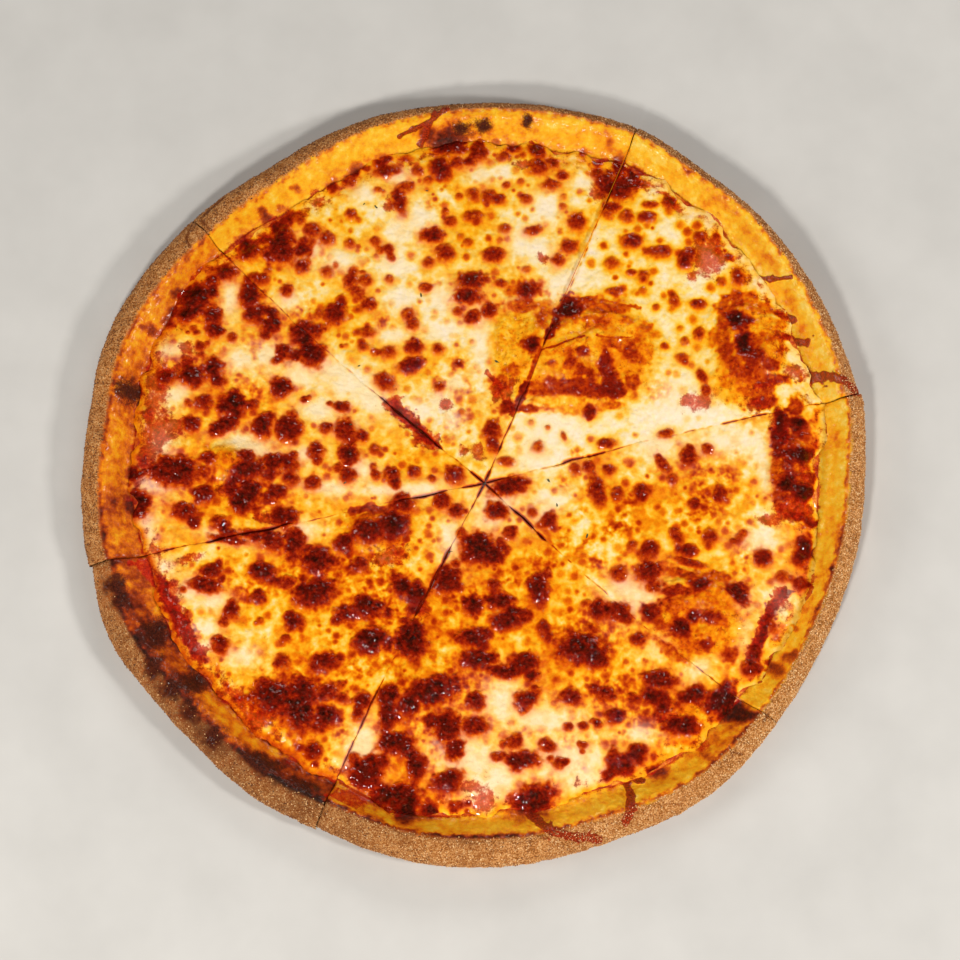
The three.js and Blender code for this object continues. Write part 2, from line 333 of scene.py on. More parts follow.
def bump(shape, x, y):
    """Height of a rounded bump: full in the middle, running out softly at its outline."""
    *oval, height = shape
    reach = oval_reach(x, y, *oval)
    return np.where(reach < 1, height * (0.5 + 0.5 * np.cos(math.pi * np.minimum(reach, 1))), 0)


def lift(bumps, x, y):
    return sum(bump(shape, x, y) for shape in bumps)


def sunken(x, y):
    """Depth of the hollows where the bubbles burst."""
    return lift([(*spot_on_plan(spot), HOLLOW_DEPTH) for spot in HOLLOWS], x, y)


def dough_top(x, y):
    return CRUST_FLOOR + lift(DOUGH_BUBBLES, x, y) - sunken(x, y)


print("rim", round(float(outer_slope(0.0) + inner_slope(0.0)), 1), "mm wide on the right")

# %% [markdown]
# ## The camera
#
# The photo was taken from a high step, almost straight down. A longish lens from a bit over a
# metre gives the same view, and the little shift puts the pizza where it is in the photo. The
# camera comes early because the browning below is placed by what the photo shows.

# %% Camera
PHOTO_SIZE = 960
CAMERA_ELEVATION = math.radians(80)
CAMERA_DISTANCE = 1.25
CAMERA_FOCUS = Vector((0, 0, 0.006))
SENSOR_WIDTH = 36.0
FOCAL_PIXELS = 2721.4
FOCUS_PIXEL = (474.0, 476.0)

camera_data = bpy.data.cameras.new("overhead_camera")
camera_data.sensor_width = SENSOR_WIDTH
camera_data.lens = FOCAL_PIXELS * SENSOR_WIDTH / PHOTO_SIZE
camera_data.shift_x = (PHOTO_SIZE / 2 - FOCUS_PIXEL[0]) / PHOTO_SIZE
camera_data.shift_y = (FOCUS_PIXEL[1] - PHOTO_SIZE / 2) / PHOTO_SIZE
camera = bpy.data.objects.new("overhead_camera", camera_data)
bpy.context.scene.collection.objects.link(camera)
looking = Vector((0, math.cos(CAMERA_ELEVATION), -math.sin(CAMERA_ELEVATION)))
camera.location = CAMERA_FOCUS - looking * CAMERA_DISTANCE
camera.rotation_euler = (math.pi / 2 - CAMERA_ELEVATION, 0, 0)
bpy.context.scene.camera = camera
print("lens", round(camera_data.lens, 1), "mm")

# %% [markdown]
# A spot that is read off the photo in pixels becomes a place on the pizza by following the line
# of sight down to the height of the topping. Going through one function keeps every landmark
# below a plain reading of the photo.

# %% From the photo to the plan
TOPPING_HEIGHT = 7.5
PIXELS_PER_MM = 2.185


def on_plan(px, py, height=TOPPING_HEIGHT):
    """Plan position in millimetres of a pixel of the photo."""
    up = Vector((0, math.sin(CAMERA_ELEVATION), math.cos(CAMERA_ELEVATION)))
    ray = looking * FOCAL_PIXELS
    ray += Vector((1, 0, 0)) * (px - FOCUS_PIXEL[0]) + up * (FOCUS_PIXEL[1] - py)
    eye = camera.location / MM
    far = (height - eye.z) / ray.z
    return eye.x + ray.x * far, eye.y + ray.y * far


print("the cuts cross at", [round(c, 1) for c in on_plan(484.5, 484)])

# %% [markdown]
# ## What the oven did
#
# Browning is what makes this pizza this pizza, so its larger spots are read off the photo. Each
# spot is an oval: the pixel of its middle, then its half width and half height in pixels. One
# number alone is a round spot, and a fifth number turns it, in degrees. They are sorted by how
# far the oven took them, the brown ones first.

# %% Blisters read off the photo
BLISTERS = [
    # top slice
    (281, 232, 10), (280, 251, 15), (248, 250, 12), (302, 268, 7), (327, 273, 7), (287, 292, 7),
    (335, 315, 12), (327, 240, 8), (332, 187, 7), (297, 190, 4), (280, 207, 4), (290, 215, 8),
    (313, 232, 9), (268, 220, 7), (268, 272, 4), (356, 168, 7), (349, 180, 8), (383, 159, 6),
    (386, 172, 10, 7), (406, 157, 8, 4), (418, 172, 6), (440, 168, 10), (446, 175, 7), (428, 181, 5),
    (458, 165, 7), (478, 152, 9, 12), (471, 162, 6), (495, 141, 5), (504, 156, 5), (515, 147, 8, 6),
    (538, 150, 8), (539, 168, 9), (554, 163, 6), (563, 177, 7, 4), (551, 185, 10, 5), (521, 182, 4),
    (506, 186, 4), (406, 188, 9, 7), (399, 202, 7, 14, 15), (379, 190, 3), (473, 195, 7), (489, 198, 8),
    (499, 200, 6), (459, 197, 4), (473, 217, 10, 7), (450, 222, 6), (445, 213, 4), (445, 254, 9, 10),
    (428, 263, 6), (461, 237, 4), (468, 243, 5), (505, 230, 6), (533, 231, 10, 5, 15), (577, 223, 9),
    (569, 247, 9, 7), (526, 200, 6), (558, 261, 7), (526, 270, 6, 4), (564, 197, 4), (563, 207, 4),
    (583, 152, 5), (598, 162, 6), (598, 175, 7), (351, 215, 6), (350, 245, 6), (375, 242, 6),
    (388, 250, 6), (376, 257, 3), (393, 260, 3), (351, 282, 8), (366, 282, 7), (356, 293, 7),
    (369, 305, 7), (389, 280, 5), (426, 288, 7, 5), (473, 318, 8), (458, 312, 5), (501, 284, 8, 4),
    (526, 292, 8), (408, 315, 7), (413, 325, 7), (367, 333, 9, 6), (364, 348, 7, 5), (388, 353, 9, 7),
    (414, 348, 9, 8), (438, 350, 6), (472, 342, 3), (346, 346, 3), (459, 364, 5), (439, 388, 6),
    (462, 413, 4), (313, 356, 12, 11), (305, 333, 14, 11), (385, 383, 11, 9, -40),
    # left slice
    (225, 273, 12, 8), (212, 283, 7), (257, 280, 12, 7), (195, 300, 14), (188, 315, 10, 7),
    (173, 310, 5), (213, 317, 9), (214, 332, 7), (212, 293, 6), (249, 297, 9, 12), (253, 316, 9),
    (272, 315, 7), (271, 326, 8), (232, 338, 5), (284, 353, 8), (152, 332, 7), (167, 322, 7),
    (193, 329, 4), (200, 347, 5), (213, 369, 9, 11), (191, 377, 9, 12, 35), (167, 379, 8),
    (281, 389, 10, 9), (304, 400, 4), (341, 407, 8, 5), (203, 403, 9, 7), (253, 405, 5),
    (231, 407, 13, 9, 15), (224, 426, 15, 7, 35), (262, 427, 9, 11), (191, 425, 8), (345, 431, 11, 10),
    (326, 430, 6), (316, 452, 8), (274, 463, 10, 8), (290, 467, 8), (348, 476, 8), (375, 450, 6),
    (392, 476, 8), (376, 476, 5), (414, 472, 6), (432, 479, 4), (454, 476, 9), (313, 484, 8),
    (294, 482, 6), (242, 474, 14, 7, 30), (132, 474, 8), (136, 505, 13), (184, 512, 12, 8),
    (204, 495, 9), (218, 523, 7), (250, 470, 16, 9), (277, 493, 9, 7), (284, 518, 12, 9),
    # upper right slice
    (632, 242, 11, 8), (660, 252, 13, 7), (685, 263, 8), (689, 255, 8), (700, 238, 7), (612, 264, 8, 7),
    (632, 273, 6, 4), (643, 277, 7), (643, 291, 5), (615, 292, 9, 5), (656, 308, 4), (674, 301, 5, 9),
    (698, 305, 8, 6), (717, 238, 6), (738, 278, 7, 10), (722, 283, 6), (725, 298, 3), (627, 217, 8),
    (647, 217, 9, 6), (607, 215, 7), (670, 202, 8), (680, 329, 4), (685, 342, 5), (699, 335, 6, 8),
    (664, 347, 4), (682, 359, 8, 6), (702, 377, 5, 9, 25), (706, 392, 5, 7), (666, 434, 9, 5, 15),
    (606, 444, 10, 6), (589, 412, 7), (548, 428, 3), (538, 448, 7), (506, 462, 9, 6), (531, 423, 4),
    (564, 437, 3, 6, 20), (492, 431, 8, 10, -10),
    # right slice
    (510, 534, 6), (548, 522, 7), (575, 470, 6), (589, 467, 6), (609, 471, 6), (598, 493, 7, 15, 15),
    (617, 495, 7), (641, 492, 7), (664, 466, 5, 12, 35), (673, 480, 6), (689, 457, 8, 10),
    (708, 450, 6), (693, 505, 6), (720, 495, 7, 9), (677, 538, 6, 10, 20), (650, 551, 8, 10),
    (631, 547, 5), (533, 514, 5), (551, 518, 7, 6, -30), (619, 575, 9), (648, 573, 12, 10, 20),
    (690, 563, 16, 4, -15), (710, 538, 8, 9), (739, 540, 6), (763, 559, 8, 9), (782, 578, 7),
    (803, 552, 9, 15, -15), (801, 584, 7), (771, 626, 5, 12, 25), (755, 653, 7), (749, 669, 8),
    (776, 670, 7, 10, 35), (789, 658, 8, 6), (796, 629, 3),
    # lower left slice
    (274, 543, 12, 9), (258, 572, 9, 7), (212, 571, 10, 7), (231, 613, 8), (258, 598, 7), (343, 546, 9),
    (297, 623, 8), (260, 621, 4), (285, 639, 4), (344, 615, 8), (365, 611, 14, 8),
    (373, 640, 14, 10, 20), (368, 532, 14, 9), (360, 566, 8), (221, 647, 8), (282, 662, 7),
    (324, 663, 14, 8, 15), (363, 702, 8), (357, 717, 6), (301, 717, 12, 14), (327, 693, 10, 8),
    (285, 765, 8), (313, 752, 8), (402, 505, 12, 9), (457, 512, 8, 7), (442, 502, 9, 8),
    (274, 699, 20, 15, -20), (265, 572, 9, 8), (230, 535, 12, 6, -20),
    # bottom slice
    (388, 697, 9), (395, 744, 14, 10), (381, 763, 7), (365, 776, 14), (395, 797, 22, 10, 5),
    (406, 814, 10), (448, 781, 13, 9, 20), (416, 768, 8, 14), (473, 637, 15, 8), (475, 660, 14, 8),
    (538, 591, 9, 14, 15), (500, 602, 12, 7), (473, 607, 9), (495, 586, 6), (508, 621, 15, 8, 20),
    (544, 630, 6, 8), (619, 612, 13, 8), (638, 640, 7, 6), (570, 697, 10, 7), (605, 695, 10, 7),
    (524, 702, 9), (476, 702, 8), (474, 727, 12, 8), (615, 717, 9, 7), (598, 725, 4), (567, 727, 4),
    (513, 744, 8, 6), (548, 746, 9, 6, -30), (583, 746, 4), (524, 760, 14, 7), (517, 766, 6),
    (559, 764, 6), (582, 726, 4), (660, 680, 14, 8, -15), (695, 695, 10, 8), (614, 764, 7, 13),
    (637, 752, 8, 7), (628, 770, 6), (658, 772, 9, 7), (388, 718, 7, 14), (430, 812, 9, 7),
    (456, 807, 8, 5, 25), (658, 700, 16, 8, -30), (498, 757, 7, 5),
]
print("blisters:", len(BLISTERS))

# %% [markdown]
# The largest blisters went on to dark red and nearly black, while other places are no more than
# orange: they are wider, and they have no dome.

# %% Dark blisters and orange places read off the photo
DARK_BLISTERS = [
    (432, 236, 12, 8), (494, 255, 11, 8), (471, 282, 14, 9, 10), (468, 298, 14, 7), (489, 312, 8),
    (411, 366, 13, 8, 20), (288, 430, 12), (349, 456, 9, 10), (175, 472, 24, 14, -5), (240, 504, 10),
    (249, 494, 12), (229, 540, 18, 4, -10), (254, 536, 12, 5, -20), (493, 445, 6, 10, 5),
    (509, 487, 17, 9, 15), (497, 512, 10, 7), (641, 494, 7), (205, 586, 16, 7, -10),
    (314, 595, 19, 13, 15), (318, 562, 13), (395, 527, 12, 13), (294, 544, 10, 13), (446, 582, 13, 12),
    (417, 598, 9, 12), (402, 588, 9, 9), (410, 645, 13, 14, 30), (412, 632, 10, 9), (479, 548, 14, 13),
    (493, 556, 10, 9), (365, 607, 10), (432, 692, 22, 12, 15), (447, 729, 12, 14), (410, 707, 8),
    (524, 664, 13, 9), (503, 672, 14, 5, -10), (580, 650, 20, 14), (597, 660, 10, 8),
    (302, 695, 14, 11, 30), (476, 547, 8), (708, 619, 6), (680, 726, 15, 8), (476, 640, 8, 5),
    (598, 611, 7, 10), (366, 640, 9), (326, 718, 11), (395, 745, 9, 6), (688, 551, 8, 6),
]
ORANGE_SPOTS = [
    (305, 313, 10), (433, 203, 6, 5), (383, 322, 6), (256, 346, 7), (563, 484, 5), (658, 388, 8, 6),
    (658, 388, 9, 5), (355, 669, 10, 7), (339, 730, 10), (587, 544, 6), (597, 563, 9, 6),
    (663, 567, 8, 5), (559, 397, 9, 5), (547, 374, 6, 11, 10), (461, 415, 8, 9), (451, 425, 10, 7),
    (459, 364, 8), (441, 388, 9, 11, 10), (465, 391, 7, 6), (630, 500, 9, 7), (655, 395, 8, 6),
    (691, 512, 9, 7), (712, 506, 8), (746, 552, 7, 12), (731, 590, 20, 6, -10), (621, 527, 10, 9),
    (607, 530, 5), (659, 460, 6, 12, 30), (697, 470, 7), (724, 473, 6), (735, 449, 5), (728, 478, 9, 5),
    (702, 493, 6, 12), (575, 452, 6, 4), (583, 512, 5), (561, 542, 9, 7), (542, 565, 12, 6),
    (520, 735, 10, 6), (564, 743, 12, 7), (580, 768, 9, 7), (510, 582, 9, 6), (450, 690, 30, 18, 10),
    (420, 715, 22, 20), (440, 745, 14, 20), (476, 600, 16, 12), (590, 636, 30, 18), (610, 690, 26, 12),
    (640, 720, 30, 12, -20), (300, 690, 34, 20, -15), (310, 580, 26, 24), (380, 600, 24, 30),
    (394, 640, 30, 22), (250, 590, 16, 12), (340, 560, 30, 14), (205, 470, 30, 14, -15),
    (150, 480, 16, 20), (262, 500, 22, 16), (196, 365, 30, 12, -20), (240, 400, 24, 12, 30),
    (270, 320, 14, 16),
]
print("dark blisters:", len(DARK_BLISTERS), "orange places:", len(ORANGE_SPOTS))

# %% [markdown]
# The bubbles in the dough lift the topping out to the heat. Their cheese has run off, so they are
# orange and mottled. Red is where the sauce shows through thin cheese, and pale is where the
# cheese stayed thick and milky.

# %% Bare, red and pale places read off the photo
BARE_PLACES = [
    (521, 350, 26, 46, 8), (600, 352, 52, 50, -8), (748, 350, 32, 48, 10), (795, 480, 24, 44, 5),
    (700, 620, 46, 38, 5), (376, 532, 28, 18, 15), (236, 463, 32, 12, -20), (736, 384, 24, 18),
]
RED_PLACES = [
    (316, 196, 7, 10), (260, 235, 10, 7), (524, 164, 10, 4), (598, 193, 8), (389, 205, 5, 8),
    (543, 259, 5), (223, 258, 7, 4), (187, 348, 7), (170, 589, 12, 7), (231, 701, 22, 15, -25),
    (710, 247, 11), (710, 265, 11), (702, 256, 8, 14), (729, 257, 8, 4), (692, 277, 5),
    (666, 192, 9, 2), (679, 207, 5), (686, 401, 5), (700, 402, 12, 8), (781, 599, 6, 9),
    (712, 701, 13, 7, 10), (155, 388, 11, 32, 5), (160, 432, 16, 14), (146, 455, 8, 20),
    (175, 425, 10, 6), (190, 740, 10, 5), (258, 720, 22, 9, 30), (362, 779, 14, 12), (352, 800, 16, 9),
    (419, 603, 8, 14, 25), (508, 391, 4, 12, -25), (497, 395, 4, 9, -25), (478, 451, 6, 9),
    (464, 450, 5), (620, 175, 9, 12), (640, 182, 10, 8), (780, 430, 8, 16, 8), (790, 512, 14, 8),
    (770, 520, 10, 6), (232, 488, 14, 8), (266, 518, 12, 5, -10), (190, 558, 12, 5, 20),
    (150, 550, 12, 4), (760, 404, 12, 6), (484, 803, 10, 12), (470, 786, 12, 6), (340, 806, 14, 6),
    (703, 745, 9, 7), (668, 716, 14, 8), (395, 555, 16, 8, 20), (385, 560, 12, 6), (446, 405, 6, 6),
    (431, 441, 9, 4, 35),
]
PALE_PLACES = [
    (399, 177, 9, 6), (363, 193, 9, 6), (501, 173, 8, 5), (566, 150, 7, 5), (583, 183, 7, 5),
    (563, 283, 12, 9), (175, 395, 12, 7, 40), (162, 445, 9, 14), (150, 483, 14, 8, -20),
    (145, 530, 9, 14), (165, 566, 9, 5), (190, 590, 10, 8), (205, 628, 10, 5), (205, 646, 8, 5),
    (242, 655, 12, 6), (345, 430, 9, 5), (481, 345, 7, 30), (552, 292, 6, 12), (672, 400, 16, 16),
    (690, 410, 22, 10, 8), (735, 442, 26, 10, -5), (655, 446, 16, 10), (765, 470, 6, 20, 12),
    (541, 498, 9, 5, 25), (552, 505, 14, 6, 40), (450, 540, 8, 14), (500, 500, 14, 10),
    (490, 520, 10, 8), (540, 440, 14, 12), (535, 460, 16, 8), (560, 420, 20, 14), (455, 383, 8, 6),
    (440, 400, 9, 7), (452, 420, 8, 10), (780, 600, 9, 12), (760, 540, 14, 9), (742, 606, 10, 9),
    (741, 628, 8, 16), (475, 760, 20, 9), (497, 780, 16, 12), (480, 795, 10, 12), (570, 760, 24, 14),
    (585, 780, 14, 12), (455, 745, 14, 12), (545, 720, 22, 9), (500, 700, 12, 14), (625, 590, 14, 10),
    (640, 600, 16, 8, 35), (665, 640, 12, 7, 40), (700, 665, 12, 6, 40), (640, 733, 10, 6),
    (366, 745, 8, 16), (355, 760, 8, 14), (215, 600, 9, 6), (300, 530, 12, 6), (252, 448, 18, 7, -15),
    (305, 455, 9, 6), (225, 538, 16, 4, -15), (330, 488, 18, 5, -5), (360, 470, 10, 7),
    (420, 490, 16, 5, 8), (388, 490, 20, 4), (372, 400, 14, 10, -30), (350, 385, 16, 10),
    (330, 370, 18, 9, -30), (420, 410, 14, 9), (540, 250, 10, 8), (520, 240, 8, 12), (545, 210, 10, 12),
    (480, 175, 8, 6), (340, 262, 12, 8), (310, 250, 10, 9), (399, 230, 9, 12), (420, 220, 10, 12),
    (395, 265, 12, 9), (440, 300, 12, 12), (445, 330, 16, 9), (400, 300, 12, 8), (393, 335, 10, 6),
    (515, 305, 9, 6), (230, 300, 6, 14), (240, 360, 12, 9), (170, 350, 10, 6), (268, 355, 9, 10),
    (300, 375, 14, 10), (290, 300, 9, 7), (320, 410, 14, 8), (240, 440, 10, 5),
]
print("places:", len(BARE_PLACES), "bare,", len(RED_PLACES), "red,", len(PALE_PLACES), "pale")

# %% [markdown]
# Burnt places are black dough on the rim, crusty ones are nearly black cheese, and toasted ones
# are dough that only began to brown.

# %% Burnt, crusty and toasted places read off the photo
BURNT_PLACES = [
    (461, 130, 10, 6), (483, 128, 9, 6), (130, 392, 13), (116, 586, 11, 12), (121, 602, 8, 10),
    (156, 634, 12, 17, 10), (154, 669, 8, 12, 15), (194, 683, 15, 12), (191, 714, 10, 9),
    (173, 690, 10, 10), (215, 738, 10, 13, 25), (261, 764, 22, 10, -28), (301, 786, 12, 7, -20),
    (527, 124, 6),
]
CRUSTY_PLACES = [
    (448, 142, 19, 13), (619, 167, 7, 12), (635, 182, 9, 8), (612, 208, 9, 7), (650, 205, 9, 4),
    (532, 802, 20, 13, 20), (733, 712, 15, 10), (729, 690, 8, 9), (755, 717, 6, 4), (569, 312, 12, 9),
    (533, 348, 5, 8), (735, 320, 9, 7), (744, 345, 10, 11), (756, 356, 9, 7), (779, 420, 5, 14, 8),
    (797, 458, 12, 9), (789, 483, 9, 9), (804, 493, 9, 8), (797, 425, 8), (620, 190, 13, 13),
    (604, 184, 8, 13), (634, 172, 8, 8), (720, 702, 15, 8), (742, 716, 9, 7), (701, 585, 8, 6, 15),
    (739, 594, 8, 12, -30), (682, 629, 7, 8), (650, 613, 9, 8), (693, 618, 6), (704, 645, 4),
    (783, 488, 6, 5), (426, 134, 8, 6), (720, 700, 9, 8),
]
TOASTED_PLACES = [
    (687, 174, 7), (711, 204, 5), (609, 143, 5, 8), (100, 435, 6, 12), (104, 540, 7, 14),
    (135, 600, 14, 12), (140, 650, 14, 24), (175, 650, 8, 12), (170, 700, 16, 14, 40),
    (225, 756, 16, 10, 35), (290, 790, 30, 10, -25), (320, 803, 18, 8, -15), (111, 560, 8, 6),
    (372, 820, 12, 8), (352, 826, 9, 6), (720, 742, 10, 5, -35), (740, 730, 14, 7, -35),
    (705, 757, 8, 4, -35), (440, 838, 60, 2), (500, 838, 40, 2), (119, 560, 9, 5), (112, 505, 7, 10),
    (700, 182, 14, 3, -40), (722, 205, 14, 3, -45), (745, 232, 12, 3, -50), (768, 262, 14, 3, -55),
    (788, 300, 14, 3, -65), (803, 330, 14, 3, -70), (836, 440, 5, 12, 0), (838, 540, 6, 16, 10),
    (828, 575, 8, 14, 15), (810, 610, 10, 10),
]
print("places:", len(BURNT_PLACES), "burnt,", len(CRUSTY_PLACES), "crusty")

# %% [markdown]
# Some marks are lines: burnt strings of cheese that stuck to the rim, streaks of sauce, and
# cracks in the crust. A line is the pixels it runs through and half its width in pixels.

# %% Lines read off the photo
BURNT_STRINGS = [
    ([(530, 815), (551, 832), (572, 837), (594, 839)], 4.0),
    ([(626, 779), (631, 797), (625, 822)], 3.6),
    ([(626, 772), (640, 780)], 2.5),
    ([(759, 276), (774, 280), (789, 281)], 1.8),
    ([(780, 313), (793, 319)], 3.4),
    ([(778, 335), (792, 338)], 3.8),
    ([(797, 340), (806, 342)], 3.2),
    ([(757, 388), (776, 383), (786, 379)], 3.2),
    ([(784, 378), (796, 371), (812, 375)], 6.0),
    ([(812, 375), (828, 378), (842, 385), (856, 393)], 4.0),
    ([(421, 143), (432, 124), (448, 112)], 2.6),
    ([(399, 138), (423, 128), (434, 123)], 1.6),
]
SAUCE_STREAKS = [
    ([(142, 564), (160, 584), (172, 606), (184, 630), (200, 656)], 7.0),
    ([(130, 563), (150, 566), (160, 578)], 2.2),
    ([(232, 706), (245, 715), (256, 724)], 4.0),
    ([(190, 361), (170, 372), (152, 400), (150, 420)], 4.0),
    ([(392, 402), (412, 424), (432, 444)], 7.0),
    ([(488, 374), (499, 384), (508, 400), (513, 412)], 2.6),
    ([(781, 592), (772, 606), (762, 628), (752, 655)], 5.0),
    ([(330, 800), (348, 794), (368, 792)], 5.0),
]
CRACKS = [
    ([(225, 200), (214, 209), (202, 220)], 1.2),
    ([(202, 223), (207, 229), (212, 234)], 1.2),
    ([(193, 227), (188, 242), (191, 251)], 1.4),
    ([(728, 747), (731, 757)], 1.0),
    ([(731, 753), (741, 755)], 0.8),
    ([(768, 714), (762, 722)], 1.0),
]
print("lines:", len(BURNT_STRINGS), "strings,", len(SAUCE_STREAKS), "streaks")

# %% [markdown]
# The bubbles creased and sank when they burst. Ridges stand up, hollows go down in the dough and
# dents in the cheese over it. Ridges and the darkened folds, partly browned and partly painted
# shade, are lines with a strength as their third value; hollows and dents are ovals.

# %% Folds of the bubbles
RIDGES = [
    ([(556, 332), (575, 320), (610, 316), (642, 330), (652, 355)], 4.0, 0.9),
    ([(560, 352), (585, 340), (598, 330)], 3.0, 0.7),
    ([(520, 405), (560, 398), (600, 404)], 4.0, 0.5),
    ([(500, 330), (508, 360), (520, 395)], 4.0, 0.7),
    ([(722, 322), (745, 308), (775, 322), (790, 350)], 4.0, 0.7),
    ([(660, 590), (690, 580), (725, 590), (742, 610)], 4.0, 0.6),
    ([(775, 440), (795, 445), (812, 470)], 3.0, 0.6),
]
HOLLOWS = [(606, 366, 34, 26, -20), (748, 346, 22, 24), (795, 482, 14, 24), (694, 620, 26, 22)]
HOLLOW_DEPTH = 2.6
DENTS = [
    (606, 368, 24, 17, -25), (598, 346, 12, 8, 20), (536, 352, 8, 10), (748, 342, 14, 16),
    (694, 616, 18, 14), (795, 478, 10, 16), (376, 532, 14, 8),
]
# Darkened creases of the bubbles and stretches beside the cuts, each with its strength: partly
# browning, partly painted shade where folds and open cuts lie in shadow.
BROWNED_AND_SHADED_FOLDS = [
    ([(600, 300), (625, 306), (640, 308)], 1.6, 0.55),
    ([(567, 300), (557, 319), (549, 338)], 5.0, 0.76),
    ([(527, 384), (522, 396), (517, 408)], 4.0, 0.76),
    ([(784, 594), (772, 608), (764, 628), (756, 652), (750, 668)], 5.0, 0.74),
    ([(146, 568), (162, 588), (173, 608), (184, 630), (196, 650)], 7.0, 0.70),
    ([(394, 404), (412, 423), (430, 441)], 5.0, 0.76),
    ([(541, 352), (556, 349), (570, 343), (584, 339)], 1.1, 0.62),
    ([(596, 338), (614, 340), (632, 338)], 1.1, 0.56),
    ([(540, 350), (536, 362), (528, 380)], 2.6, 0.60),
    ([(352, 512), (372, 508), (398, 516), (406, 540)], 5.0, 0.66),
    ([(236, 468), (252, 470), (268, 477)], 3.5, 0.60),
]
print("folds:", len(RIDGES), "ridges,", len(DENTS), "dents,", len(BROWNED_AND_SHADED_FOLDS), "browned")
